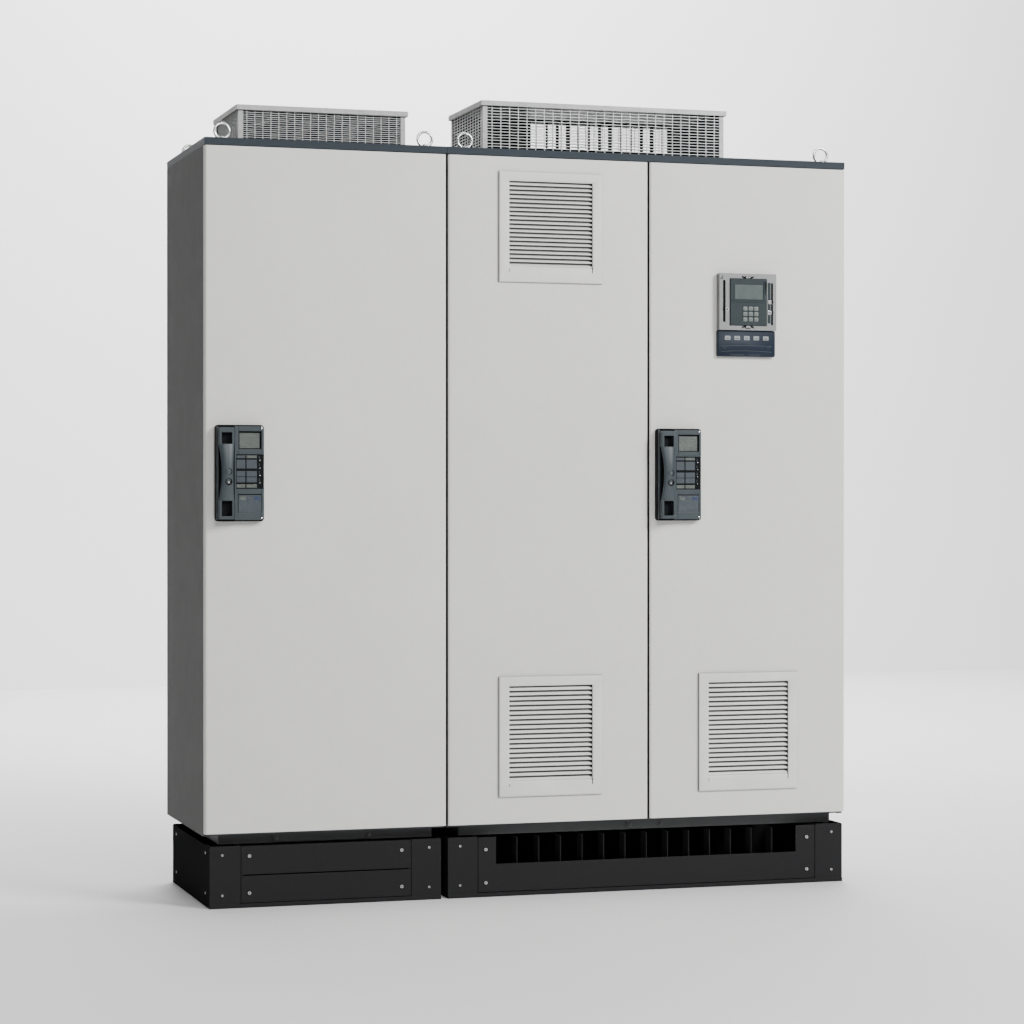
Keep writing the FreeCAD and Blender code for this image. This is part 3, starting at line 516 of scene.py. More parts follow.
# ------------------------------------------------------------------ doors

SHEET = 2
DOOR_RADIUS = 9
DOOR_DEPTH = 18
ARC_STEPS = 6
SHADED_STEPS = 3
HINGE_LEVELS = (420, 1180, 1950)
GRILLE_NODES = {
    "centre": ("grille_centre_top", "grille_centre_bottom"),
    "right": ("grille_right_bottom",),
    "left": (),
}
HINGE_SIDE = {"left": 1, "centre": -1, "right": 1}
# Edges that meet another door: their first arc steps are near-black as painted shade in the seam.
SHADED_EDGES = {"left": ("high",), "centre": ("low", "high"), "right": ("low",)}


def grille_hole(node):
    """The door's cut-out behind a grille: a little inside the grille's rim."""
    lo, hi = mm(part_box(node))
    return lo.x + 25, hi.x - 25, lo.z + 40, hi.z - 22


def arc_points(cx, cy, radius, start, end):
    """An arc in the XY plane, from one angle in degrees to another."""
    turns = [math.radians(start + (end - start) * k / ARC_STEPS) for k in range(ARC_STEPS + 1)]
    return [(cx + radius * math.cos(t), cy + radius * math.sin(t)) for t in turns]


def door_skin(name):
    """Folded tray: round front corners, cut-outs for the grilles, and near-black painted shade on the rounded
    edges that meet another door.
    """
    node = "door_" + name
    lo, hi = mm(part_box(node))
    front = lo.y
    rear = front + DOOR_DEPTH
    r = DOOR_RADIUS
    piece = Piece(node + "_skin", node, DOOR_PAINT, PAINTED_SHADE_BLACK)
    holes = [grille_hole(g) for g in GRILLE_NODES[name]]
    x_breaks = sorted({round(x, 3) for h in holes for x in h[:2]})
    z_levels = sorted({round(z, 3) for h in holes for z in h[2:]} | {lo.z, hi.z})
    section = [(lo.x, rear)] + arc_points(lo.x + r, front + r, r, 180, 270)
    section += [(x, front) for x in x_breaks]
    section += arc_points(hi.x - r, front + r, r, 270, 360) + [(hi.x, rear)]
    rows = [[piece.point((x, y, z)) for x, y in section] for z in z_levels]
    for low, high in zip(rows, rows[1:]):
        for i in range(len(section) - 1):
            middle = (low[i].co + high[i + 1].co) / (2 * MM)
            if any(h[0] < middle.x < h[1] and h[2] < middle.z < h[3] for h in holes):
                continue
            face = piece.bm.faces.new((low[i], low[i + 1], high[i + 1], high[i]))
            # Painted shade in the seam: the first and last arc steps of edges that meet another door take the
            # near-black.
            shaded_low = i < SHADED_STEPS and "low" in SHADED_EDGES[name]
            shaded_high = i > len(section) - 2 - SHADED_STEPS and "high" in SHADED_EDGES[name]
            face.material_index = int(shaded_low or shaded_high)
    piece.bm.faces.new(list(reversed(rows[0])))
    piece.bm.faces.new(rows[-1])
    return piece.done(bevel=0.9, replaces=(node,), thickness=SHEET, angle=40.0)


def door_inside(name):
    """Knuckles, stiffening channels, gasket and, behind a handle, the guides of the lock rods."""
    node = "door_" + name
    lo, hi = mm(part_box(node))
    inner = lo.y + SHEET
    side = HINGE_SIDE[name]
    hinge_x = (hi.x if side > 0 else lo.x) - side * DOOR_RADIUS
    hinge_y = lo.y + DOOR_RADIUS
    knuckles = Piece(node + "_knuckles", node, FRAME_STEEL)
    for level in HINGE_LEVELS:
        for offset in (-26.3, 10.3):
            z = level + offset
            knuckles.turned((hinge_x, hinge_y, z), UP, [(0, 6.4), (16, 6.4)])
            wing = sorted((hinge_x - side * 6.2, hinge_x - side * 40))
            knuckles.box((wing[0], inner, z), (wing[1], inner + 2.5, z + 16))
    knuckles.done(bevel=0.4)
    channel = Piece(node + "_channels", node, DOOR_PAINT)
    rod_side = lo.x + (70 if side > 0 else 48)
    for x in (rod_side, hi.x - 70):
        hat = [(x - 4, inner), (x - 4, inner + 1.5), (x + 2, inner + 1.5),
               (x + 4, inner + 12), (x + 18, inner + 12), (x + 20, inner + 1.5),
               (x + 26, inner + 1.5), (x + 26, inner)]
        channel.bar_z(hat, lo.z + 45, hi.z - 45)
    channel.done(bevel=0.4)
    gasket_ring(name, lo, hi)
    if name in ("left", "right"):
        rod_guides(name, inner)


def rod_guides(name, inner):
    """Nylon blocks, screwed to the door, that the lock rods slide through."""
    node = "door_" + name
    up_lo, up_hi = mm(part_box("lock_rod_up_" + name))
    down_lo, down_hi = mm(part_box("lock_rod_down_" + name))
    x0 = min(up_lo.x, down_lo.x)
    x1 = max(up_hi.x, down_hi.x)
    spindle_z = spindle_height(name)
    guides = Piece(node + "_rod_guides", node, BLACK_PLASTIC_AND_SHADE, BRIGHT_STEEL)
    play = 0.3
    bridge = up_hi.y + play
    cap = [(0, 2.2), (0.5, 1.6)]
    for z in (320, 820, spindle_z - 60, spindle_z + 60, 1720, 2080):
        low = z - 9
        high = z + 9
        guides.box((x0 - 5, inner, low), (x0 - play, bridge + 2.5, high))
        guides.box((x1 + play, inner, low), (x1 + 5, bridge + 2.5, high))
        guides.box((x0 - play, bridge, low), (x1 + play, bridge + 2.5, high))
        guides.turned(((x0 + x1) / 2, bridge + 2.4, z), (0, 1, 0), cap, 1, 16)
    guides.done(bevel=0.3)


def gasket_ring(name, lo, hi):
    """Foam seal round the inside of the door, bulged in section."""
    node = "door_" + name
    hinge_inset = 34
    free_inset = 24
    side = HINGE_SIDE[name]
    x0 = lo.x + (free_inset if side > 0 else hinge_inset)
    x1 = hi.x - (hinge_inset if side > 0 else free_inset)
    y0 = lo.y + 14.5
    y1 = lo.y + 21.5
    z0 = lo.z + 20
    z1 = hi.z - 20
    section = ((0, y0), (0, y0 + 4), (2, y1), (5, y1), (7, y0 + 4), (7, y0))
    rings = []
    for inset, y in section:
        rings.append([(x0 + inset, y, z0 + inset), (x1 - inset, y, z0 + inset),
                      (x1 - inset, y, z1 - inset), (x0 + inset, y, z1 - inset)])
    seal = Piece(node + "_gasket", node, GASKET_FOAM_AND_SHADE)
    seal.loft(rings + rings[:1], caps=False)
    bmesh.ops.remove_doubles(seal.bm, verts=seal.bm.verts, dist=SAME_POINT)
    seal.done(bevel=0.8)


def doors():
    for name in GRILLE_NODES:
        door_skin(name)
        door_inside(name)


# ------------------------------------------------------------------ air grilles

LOUVRES = 20
GRILLE_PROUD = 9
GRILLE_BAND = 31
GRILLE_SILL = 46
GRILLE_HEADBAND = 28


def grille(node):
    """A moulded air grille: its rim and, in the rim's window, the louvres."""
    lo, hi = mm(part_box(node))
    body = body_of(node)
    front = lo.y
    back = front + GRILLE_PROUD
    window = (lo.x + GRILLE_BAND, hi.x - GRILLE_BAND, lo.z + GRILLE_SILL, hi.z - GRILLE_HEADBAND)
    grille_rim(node, body, lo, hi, front, window)
    grille_louvres(node, body, back, window)


def grille_rim(node, body, lo, hi, front, window):
    """One moulded frame: chamfered outer edge over an outer side wall in black foam as painted shade, near-flat
    face, and a step down to the louvres.

    Each step gives its share of the way from the outer edge to the window, and its depth behind the front."""
    x0, x1, z0, z1 = window
    rim = Piece(node + "_rim", body, GRILLE_PLASTIC, PAINTED_SHADE_BLACK, GASKET_FOAM_AND_SHADE)
    steps = [(0.0, GRILLE_PROUD), (0.0, 3.2), (0.09, 0.6), (0.12, 0.4), (0.90, 0.3),
             (0.94, 1.6), (1.0, 2.4), (1.0, 23), (0.84, 23), (0.84, GRILLE_PROUD)]
    outer = [(lo.x, lo.z), (hi.x, lo.z), (hi.x, hi.z), (lo.x, hi.z)]
    inner = [(x0, z0), (x1, z0), (x1, z1), (x0, z1)]
    rows = []
    for share, depth in steps:
        corners = [(a[0] + (c[0] - a[0]) * share, a[1] + (c[1] - a[1]) * share) for a, c in zip(outer, inner)]
        rows.append([rim.point((x, front + depth, z)) for x, z in corners])
    for near, far in zip(rows, rows[1:] + rows[:1]):
        for k in range(4):
            side = rim.bm.faces.new((near[k], near[(k + 1) % 4], far[(k + 1) % 4], far[k]))
            # The outer side wall, from the back to the chamfer, is black: painted shade along the rim's edge.
            side.material_index = 2 if near is rows[0] else 0
    # Two thin black bars below the window's sides: painted shade lines.
    shade_line_front = front + 0.1
    rim.box((x1 - 2.4, shade_line_front, z0 - 16), (x1 + 0.6, front + 3, z0), 1)
    rim.box((x0 - 0.6, shade_line_front, z0 - 17), (x0 + 1.4, front + 3, z0 - 8), 1)
    rim.done(bevel=0.4, replaces=(node,), angle=50.0)


def grille_louvres(node, body, back, window):
    """Sloping blades, rolled at their front edge, with near-black filter felt close behind as painted shade in the
    gaps, and near-black painted shade at the window's right side and at the blades' right ends.
    """
    x0, x1, z0, z1 = window
    pitch = (z1 - z0) / LOUVRES
    blades = Piece(node + "_louvres", body, GRILLE_PLASTIC)
    y = back - 6.5
    for k in range(LOUVRES):
        z = z0 + k * pitch
        section = [(y + 0.8, z + 0.3), (y, z + 1.4), (y + 0.3, z + 3.0),
                   (y + 4.4, z + pitch * 0.60), (y + 5.4, z + pitch * 0.60),
                   (y + 5.4, z + pitch * 0.40)]
        blades.bar_x(section, x0, x1 - 2.5)
    blades.done(bevel=0.35, angle=50.0)
    felt = Piece(node + "_filter", body, FILTER_FELT_SHADE, PAINTED_SHADE_BLACK)
    felt.box((x0, back - 0.6, z0), (x1, back + 13, z1))
    # A near-black strip at the window's right side and a near-black triangle at each blade's right end: painted
    # shade.
    felt.box((x1 - 2.2, back - 5.5, z0), (x1 - 0.2, back, z1), 1)
    for k in range(LOUVRES):
        z = z0 + (k + 0.70) * pitch
        shade_triangle = [(x1 - 9, z), (x1 - 0.5, z - 4.6), (x1 - 0.5, z + 3.4)]
        felt.slab(shade_triangle, back - 6.6, back, 1)
    felt.done(bevel=0)


# ------------------------------------------------------------------ handles

COLUMN = 53


def handle(side):
    """One handle: its back plate with labels and tiles, and its lever."""
    node = "handle_plate_" + side
    lo, hi = mm(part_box(node))
    handle_base(side, lo, hi)
    handle_labels(side, lo, hi)
    handle_tiles(side, lo)
    lever(side, lo)


def handle_base(side, lo, hi):
    """Back plate: side walls, the lever's trough, the divider ridge and the raised half beside it. The side walls,
    the trough's floor and the strip beside the ridge are dark as painted shade round and under the lever.
    """
    node = "handle_plate_" + side
    base = Piece(node + "_base", body_of(node), HANDLE_PLASTIC, DARK_PLASTIC_AND_SHADE)
    skirt = inset_outline(lo, hi, 0, 9)
    lip = inset_outline(lo, hi, 2, 8)
    # Dark side walls and trough floor: painted shade round and under the lever.
    base.loft([at_depth(skirt, hi.y), at_depth(skirt, lo.y + 9), at_depth(lip, lo.y + 7)], 1)
    column = lo.x + COLUMN
    trough_wall = rounded_outline(lo.x + 1.5, lo.x + 6.5, lo.z + 4, hi.z - 4, 2.4, 4)
    base.slab(trough_wall, lo.y + 1, lo.y + 12)
    ridge = rounded_outline(column - 1, column + 3.5, lo.z + 3, hi.z - 3, 2, 4)
    base.slab(ridge, lo.y, lo.y + 12)
    # Dark strip beside the ridge: painted shade in the trough.
    base.box((column - 5, lo.y + 0.3, lo.z + 4), (column - 1, lo.y + 8, hi.z - 4), 1)
    right_part(base, column + 2.5, hi.x - 3, lo, hi)
    base.done(bevel=0.8, replaces=(node,))
    screws = Piece(node + "_screws", body_of(node), BRIGHT_STEEL, DARK_PLASTIC_AND_SHADE)
    for z in (lo.z + 10, hi.z - 10):
        place = (hi.x - 9, lo.y, z)
        screws.turned(place, FORWARD, [(-1, 3.6), (0.15, 3.6)], 1, 24)
        screws.turned(place, FORWARD, [(0, 2.5), (0.7, 2.4), (1.1, 1.6)], 0, 20)
        # Dark hexagon in the head: painted shade in the socket.
        screws.turned(place, FORWARD, [(1.0, 0.9), (1.2, 0.9)], 1, 6)
    screws.done(bevel=0)


def right_part(base, x0, x1, lo, hi):
    """Raised frames round the two label windows and the recess of the tiles, whose floor is dark as painted shade
    between the tiles.
    """
    y0 = lo.y
    y1 = lo.y + 12
    levels = {"top": (hi.z - 80, hi.z - 4), "bottom": (lo.z + 4, lo.z + 92)}
    for part, (z0, z1) in levels.items():
        base.frame((x0, x1, z0, z1), window_place(part, x0, x1, lo, hi), y0, y1)
    z0 = levels["bottom"][1]
    z1 = levels["top"][0]
    # Dark recess floor: painted shade between the tiles.
    base.box((x0, y0 + 4, z0), (x1, y1, z1), 1)
    base.box((x0, y0 + 1, z1 - 3), (x1, y0 + 5, z1), 0)


def window_place(part, x0, x1, lo, hi):
    """The label window in the top or the bottom frame, as (x0, x1, z0, z1)."""
    if part == "top":
        return x0 + 8, x1 - 6, hi.z - 68, hi.z - 18
    return x0 + 6, x1 - 6, lo.z + 24, lo.z + 77


def handle_labels(side, lo, hi):
    """Generic labels in their windows, with the windows' dark backs showing at the labels' edges as painted shadow
    of the frames, and three small plates on the lower one.
    """
    node = "handle_plate_" + side
    x0 = lo.x + COLUMN + 2.5
    x1 = hi.x - 3
    wx0, wx1, wz0, wz1 = window_place("top", x0, x1, lo, hi)
    labels = Piece(node + "_labels", body_of(node), LABEL_WARM, LABEL_COOL, DARK_PLASTIC_AND_SHADE, TAB_BLUE)
    # Dark window backs, showing beside the labels: painted shadow of the window frames.
    labels.box((wx0, lo.y + 6, wz0), (wx1, lo.y + 7, wz1), 2)
    labels.box((wx0 + 3, lo.y + 4.4, wz0 + 2), (wx1 - 5, lo.y + 6, wz1 - 5), 0)
    wx0, wx1, wz0, wz1 = window_place("bottom", x0, x1, lo, hi)
    labels.box((wx0, lo.y + 3.4, wz0), (wx1, lo.y + 4.4, wz1), 2)
    labels.box((wx0 + 2, lo.y + 2.4, wz0), (wx1, lo.y + 3.4, wz1 - 2.5), 1)
    for k, finish in enumerate((0, 1, 3)):
        x = wx0 + 7 + 20 * k
        labels.box((x, lo.y + 1.6, wz1 - 17), (x + 16, lo.y + 2.4, wz1 - 7), finish)
    labels.done(bevel=0.3)


def handle_tiles(side, lo):
    """Two columns of tiles, and beside them a row of four small lamps with a tab over each."""
    node = "handle_plate_" + side
    tiles = Piece(node + "_tiles", body_of(node), TILE_PLASTIC, LABEL_WARM, BRIGHT_STEEL)
    x0 = lo.x + COLUMN + 5
    bottom = lo.z + 95
    rows = [(0, 10, (1, 1)), (15, 30, (0, 0)), (31.5, 47, (0, 0)), (54, 79, (0, 0)), (83, 91, (0, 1))]
    for z0, z1, finishes in rows:
        for (left, right), material in zip(((0, 25), (28, 58)), finishes):
            tiles.box((x0 + left, lo.y + 1.6, bottom + z0), (x0 + right, lo.y + 4.2, bottom + z1), material)
    for k in range(4):
        z = bottom + 14 + 21 * k
        tiles.turned((x0 + 67, lo.y + 4, z), FORWARD, [(0, 2.2), (1.6, 1.7)], 2, 12)
        tiles.box((x0 + 64, lo.y + 2.5, z + 4), (x0 + 66, lo.y + 4, z + 12), 0)
    tiles.done(bevel=0.5)


LEVER_HALF = 21.5
GRIP_WAIST = 5.5
GRIP_BULGE = 6.5
GRIP_STEPS = 16


def lever(side, lo):
    """Swing lever: a waisted, bulging grip between two ends round the finger pockets, whose dark boxes are painted
    shade.
    """
    node = "handle_lever_" + side
    low, high = mm(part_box(node))
    body = body_of(node)
    middle_x = (low.x + high.x) / 2
    back = lo.y - 0.5
    grip = Piece(node + "_grip", body, HANDLE_PLASTIC)
    pocket_low = (low.z + 9, low.z + 52)
    pocket_high = (high.z - 46, high.z - 14)
    rings = []
    for step in range(GRIP_STEPS + 1):
        share = step / GRIP_STEPS
        z = pocket_low[1] + (pocket_high[0] - pocket_low[1]) * share
        bow = math.sin(math.pi * share)
        half = LEVER_HALF - GRIP_WAIST * bow
        crest = low.y + GRIP_BULGE * (1 - bow)
        rear = crest + 15 - 2 * bow
        x = middle_x + 1.5 * bow
        rings.append([(x - half, rear, z), (x - half, crest + 5, z), (x - half * 0.62, crest + 0.8, z),
                      (x, crest, z), (x + half * 0.62, crest + 0.8, z), (x + half, crest + 5, z),
                      (x + half, rear, z)])
    grip.loft(rings)
    for (z0, z1), outer_z in ((pocket_low, low.z), (pocket_high, high.z)):
        lever_end(grip, middle_x, low.y + GRIP_BULGE, back, z0, z1, outer_z)
    grip.done(bevel=1.0, replaces=(node,), angle=40.0)
    # Dark boxes in the finger pockets: painted shade.
    pockets = Piece(node + "_pocket_shade", body, DARK_PLASTIC_AND_SHADE)
    for z0, z1 in (pocket_low, pocket_high):
        pockets.box((middle_x - 15, back - 2.5, z0), (middle_x + 15, back - 1, z1))
    pockets.done(bevel=0.5)
    lever_lock(node, body, middle_x + 4, low.z, low.y)
    lever_works(side, body, middle_x, lo)


def lever_end(grip, middle_x, crest, back, z0, z1, outer_z):
    """The frame round one finger pocket: two cheeks and a rounded cap."""
    for cheek in (-1, 1):
        inner = middle_x + cheek * 14.5
        outer = middle_x + cheek * LEVER_HALF
        grip.box((min(inner, outer), crest + 2, z0 - 1), (max(inner, outer), back, z1 + 1))
    bottom, top = sorted((outer_z, z0 if abs(outer_z - z0) < abs(outer_z - z1) else z1))
    radius = min(4.4, (top - bottom) / 2.1)
    outline = rounded_outline(middle_x - LEVER_HALF, middle_x + LEVER_HALF, bottom, top, radius, 4)
    grip.slab(outline, crest + 1.4, back)


def lever_lock(node, body, x, bottom, front):
    """Key lock: two rings round dark discs, with a bright plug in the lower and a slot in the upper."""
    lock = Piece(node + "_lock", body, DARK_PLASTIC_AND_SHADE, BRIGHT_STEEL)
    for z in (bottom + 134, bottom + 106):
        lock.ring((x, front + 1.9, z), (0, 1, 0), 8.5, 1.7, 0, 28, 8)
        lock.turned((x, front + 1.8, z), FORWARD, [(0, 7.5), (0.5, 7.1)], 0, 28)
    lock.turned((x, front + 1.6, bottom + 104), FORWARD, [(0, 3.6), (1.5, 3.2)], 1, 20)
    lock.box((x - 0.7, front + 0.2, bottom + 131), (x + 0.7, front + 1, bottom + 138), 1)
    lock.done(bevel=0.3)


PINION_TEETH = 12


def lever_works(side, body, x, lo):
    """Spindle through the door and, on it, the toothed pinion that drives the lock rods."""
    spindle_z = spindle_height(side)
    rod_lo, rod_hi = mm(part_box("lock_rod_up_" + side))
    works = Piece("lever_" + side + "_works", body, DARK_STEEL)
    works.turned((x, lo.y - 2, spindle_z), (0, 1, 0), [(0, 6), (rod_hi.y - lo.y + 2, 6)])
    teeth = []
    points = 4 * PINION_TEETH
    for k in range(points):
        radius = 9.15 if k % 4 < 2 else 7.6
        turn = math.tau * k / points
        teeth.append((x + radius * math.cos(turn), spindle_z + radius * math.sin(turn)))
    works.slab(teeth, rod_lo.y, rod_hi.y)
    works.done(bevel=0.2)


def spindle_height(side):
    """Height of the lever's axis."""
    joint = next(j for j in frame["joints"] if j["name"] == "lever_" + side + "_turn")
    return joint["pos_m"][2] / MM


def lock_rods(side):
    """The two flat rods of one handle."""
    for way in ("up", "down"):
        node = "lock_rod_" + way + "_" + side
        rod = Piece(node + "_bar", body_of(node), FRAME_STEEL, DARK_STEEL)
        rod.box(*mm(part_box(node)))
        rod.done(bevel=0.5, replaces=(node,))


# ------------------------------------------------------------------ keypad

def keypad():
    bezel()
    keypad_face()
    keypad_keys()
    strip()


def bezel():
    """Metal bezel with a rounded rim, two side tracks with sliders, two rails and two snap clips."""
    node = "keypad_bezel"
    lo, hi = mm(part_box(node))
    k_lo, k_hi = mm(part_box("keypad_body"))
    body = body_of(node)
    piece = Piece(node + "_frame", body, BEZEL_METAL, DARK_PLASTIC_AND_SHADE)
    window = (k_lo.x - 0.6, k_hi.x + 0.6, k_lo.z - 0.6, k_hi.z + 0.6)
    track_left = (lo.x + 12, lo.x + 19, lo.z + 24, hi.z - 21)
    track_right = (hi.x - 17, hi.x - 11, lo.z + 16, hi.z - 27)
    front_plate(piece, lo, hi, [window, track_left, track_right], lo.y, lo.y + 5)
    rim = inset_outline(lo, hi, 0, 3, 4)
    piece.loft([at_depth(rim, lo.y + 5), at_depth(rim, hi.y)], 0, caps=False)
    # Dark plate behind the bezel, seen in the tracks and round the keypad: painted shade.
    piece.box((lo.x + 1, lo.y + 6, lo.z + 1), (hi.x - 1, lo.y + 8, hi.z - 1), 1)
    piece.done(bevel=0.6, replaces=(node,))
    clips = Piece(node + "_clips", body, BRIGHT_STEEL, DARK_PLASTIC_AND_SHADE, BEZEL_METAL, KEYPAD_PLASTIC)
    slider(clips, track_left, track_left[1], lo.y, 0.30, 1)
    slider(clips, track_right, track_right[0] - 10, lo.y, 0.30, 1)
    slider(clips, track_right, track_right[0] - 10, lo.y, 0.55, 0)
    middle = (lo.x + hi.x) / 2
    for z, way in ((k_hi.z + 4.5, 1), (k_lo.z - 4.5, -1)):
        snap_clip(clips, middle, lo.y, z, way)
    for rail_x, finish in ((track_right[0] - 11, 3), (track_left[1] + 1, 2)):
        clips.box((rail_x, lo.y - 0.8, lo.z + 22), (rail_x + 9, lo.y, hi.z - 26), finish)
    clips.done(bevel=0.4)


def front_plate(piece, lo, hi, windows, y0, y1):
    """A plate in the XZ plane with rectangular windows, built from the cells between them."""
    xs = sorted({lo.x, hi.x} | {x for w in windows for x in w[:2]})
    zs = sorted({lo.z, hi.z} | {z for w in windows for z in w[2:]})
    for x0, x1 in zip(xs, xs[1:]):
        for z0, z1 in zip(zs, zs[1:]):
            x, z = (x0 + x1) / 2, (z0 + z1) / 2
            if not any(w[0] < x < w[1] and w[2] < z < w[3] for w in windows):
                piece.box((x0, y0, z0), (x1, y1, z1))
    merge_cells(piece)


def merge_cells(piece):
    """Joins cells that touch into one solid, without the walls between them."""
    bmesh.ops.remove_doubles(piece.bm, verts=piece.bm.verts, dist=SAME_POINT)
    doubled = {}
    for face in piece.bm.faces:
        key = tuple(sorted(v.index for v in face.verts))
        doubled.setdefault(key, []).append(face)
    inner = [f for group in doubled.values() if len(group) > 1 for f in group]
    bmesh.ops.delete(piece.bm, geom=inner, context="FACES")


def slider(clips, track, inner, front, share, material):
    """A small latch in a side track, at a share of its height, with its block on the track's inner side."""
    x0, x1, z0, z1 = track
    z = z0 + (z1 - z0) * share
    clips.box((inner, front - 2.4, z - 6), (inner + 10, front + 1, z + 6), 0)
    clips.box((x0 - 1, front - 1.2, z - 3), (x1 + 1, front + 1, z + 3), 1)
    hub = (inner + 5, front - 2.3, z)
    clips.turned(hub, FORWARD, [(0, 2.6), (0.9, 2.2)], material, 16)


def snap_clip(clips, x, front, z, way):
    """Spring clip between two dark prongs, above and below the keypad."""
    for side in (-1, 1):
        prong = [(x + side * 6, z - way * 5), (x + side * 17, z - way * 1.5),
                 (x + side * 20, z + way * 4.5), (x + side * 12, z + way * 1.5),
                 (x + side * 6, z + way * 2.5)]
        clips.slab(prong, front - 1.6, front + 1, 1)
    clips.slab(rounded_outline(x - 8, x + 8, z - 5, z + 4, 2, 4), front - 2, front, 1)
    clips.slab(rounded_outline(x - 7, x + 7, z - 3, z + 3, 2.8, 4), front - 3, front)
    clips.box((x - 3, front - 3.4, z - 0.8), (x + 3, front - 3, z + 0.8), 1)


def keypad_face():
    """Dark body: raised rim, display window, a ledge under it and the keys' pad."""
    node = "keypad_body"
    lo, hi = mm(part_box(node))
    d_lo, d_hi = mm(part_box("keypad_display"))
    body = body_of(node)
    piece = Piece(node + "_shell", body, KEYPAD_PLASTIC, BLACK_PLASTIC_AND_SHADE)
    window = (d_lo.x, d_hi.x, d_lo.z, d_hi.z)
    pockets = [key_pocket(n) for n in range(1, 10)]
    front_plate(piece, lo, hi, [window] + pockets, lo.y, lo.y + 5)
    key_room = mm(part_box("key_1"))[1].y + 2.5
    piece.box((lo.x + 0.5, key_room, lo.z + 0.5), (hi.x - 0.5, hi.y, hi.z - 0.5), 1)
    piece.done(bevel=0.9, replaces=(node,))
    trim = Piece(node + "_trim", body, KEYPAD_PLASTIC)
    ledge_z = d_lo.z - 5
    section = [(lo.y - 1.6, ledge_z - 4), (lo.y - 2.0, ledge_z + 1.5), (lo.y, ledge_z + 3),
               (lo.y + 1, ledge_z - 5)]
    trim.bar_x(section, lo.x + 4, hi.x - 4)
    for x in (d_lo.x - 4, d_hi.x + 1):
        trim.box((x, lo.y - 0.8, d_lo.z - 2), (x + 3, lo.y + 1, d_hi.z + 3))
    trim.done(bevel=0.5)
    window_piece = Piece("keypad_display_window", body, DISPLAY_GLASS, BLACK_PLASTIC_AND_SHADE)
    window_piece.box((d_lo.x, d_lo.y + 0.4, d_lo.z), (d_hi.x, d_hi.y, d_hi.z), 0)
    window_piece.done(bevel=0.2, replaces=("keypad_display",))


def key_pocket(number):
    """The hole round one key, as (x0, x1, z0, z1)."""
    lo, hi = mm(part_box("key_" + str(number)))
    play = 0.15
    return lo.x - play, hi.x + play, lo.z - play, hi.z + play


def keypad_keys():
    """Nine moulded keys with domed tops and a raised generic mark on each."""
    for number in range(1, 10):
        node = "key_" + str(number)
        lo, hi = mm(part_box(node))
        cap = Piece(node + "_cap", node, KEY_RUBBER, KEYPAD_PLASTIC)
        rings = []
        for inset, y in ((0.0, hi.y), (0.0, lo.y + 1.6), (0.7, lo.y + 0.5), (2.2, lo.y)):
            rings.append(at_depth(inset_outline(lo, hi, inset, 2.4 - inset * 0.4, 5), y))
        cap.loft(rings)
        x, z = (lo.x + hi.x) / 2, (lo.z + hi.z) / 2
        key_mark(cap, number, x, z, lo.y)
        cap.done(bevel=0, replaces=(node,), angle=45.0)


def key_mark(cap, number, x, z, front):
    """A small raised shape: arrows on the cross of keys, a dot in the middle, bars at the corners."""
    size = 2.2
    top = front - 0.15
    arrows = {2: 90, 4: 180, 6: 0, 8: 270}
    if number in arrows:
        turns = [math.radians(arrows[number] + a) for a in (0, 130, 230)]
        cap.slab([(x + size * math.cos(t), z + size * math.sin(t)) for t in turns], top, front + 0.3, 1)
    elif number == 5:
        cap.turned((x, front + 0.3, z), FORWARD, [(0, 1.8), (0.45, 1.6)], 1, 20)
    else:
        cap.box((x - size, top, z - 0.5), (x + size, front + 0.3, z + 0.5), 1)


ARCH_STEPS = 14


def strip():
    """Navy strip: raised lines that arch or bend, two dashes at the lower edge, and five lamp lenses."""
    node = "keypad_strip"
    lo, hi = mm(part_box(node))
    body = body_of(node)
    piece = Piece(node + "_shell", body, STRIP_PLASTIC, TILE_PLASTIC)
    skirt = inset_outline(lo, hi, 0, 4)
    lip = inset_outline(lo, hi, 1.5, 3)
    piece.loft([at_depth(skirt, hi.y), at_depth(skirt, lo.y + 1.5), at_depth(lip, lo.y)])
    for height in (30, 14):
        points = []
        for k in range(ARCH_STEPS + 1):
            share = k / ARCH_STEPS
            x = lo.x + 10 + (hi.x - lo.x - 20) * share
            points.append((x, lo.y - 0.2, lo.z + height + 3 * math.sin(math.pi * share)))
        piece.wire(points, 0.7, 1, 6)
    for sign in (-1, 1):
        x = (lo.x + hi.x) / 2 + sign * 70
        # Both slopes stay under 45 degrees, so that wire() doesn't turn its section over.
        check_mark = [(x - 4.01, lo.z + 27), (x, lo.z + 23), (x + 5, lo.z + 27)]
        piece.wire(at_depth(check_mark, lo.y - 0.3), 0.7, 1, 6)
    for x0, x1 in ((38, 84), (97, 134)):
        piece.box((lo.x + x0, lo.y - 0.5, lo.z + 4), (lo.x + x1, lo.y + 1, lo.z + 5.4), 1)
    piece.done(bevel=0.4, replaces=(node,), angle=45.0)
    lens_lo, lens_hi = mm(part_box("strip_lamps"))
    lenses = Piece("strip_lamps_lenses", body, LAMP_LENS, BLACK_PLASTIC_AND_SHADE)
    width = 18
    step = (lens_hi.x - lens_lo.x - width) / 4
    for k in range(5):
        x = lens_lo.x + step * k
        rim = rounded_outline(x - 1, x + width + 1, lens_lo.z - 1, lens_hi.z + 1, 2, 4)
        lenses.slab(rim, lens_lo.y + 0.6, lens_hi.y, 1)
        lens = rounded_outline(x, x + width, lens_lo.z, lens_hi.z, 1.6, 4)
        lenses.slab(lens, lens_lo.y, lens_hi.y, 0)
        mark_front = lens_lo.y - 0.3
        lenses.box((x + 4, mark_front, lens_lo.z + 3), (x + 14, mark_front + 0.5, lens_lo.z + 5), 1)
    lenses.done(bevel=0.3, replaces=("strip_lamps",))


# ------------------------------------------------------------------ roof

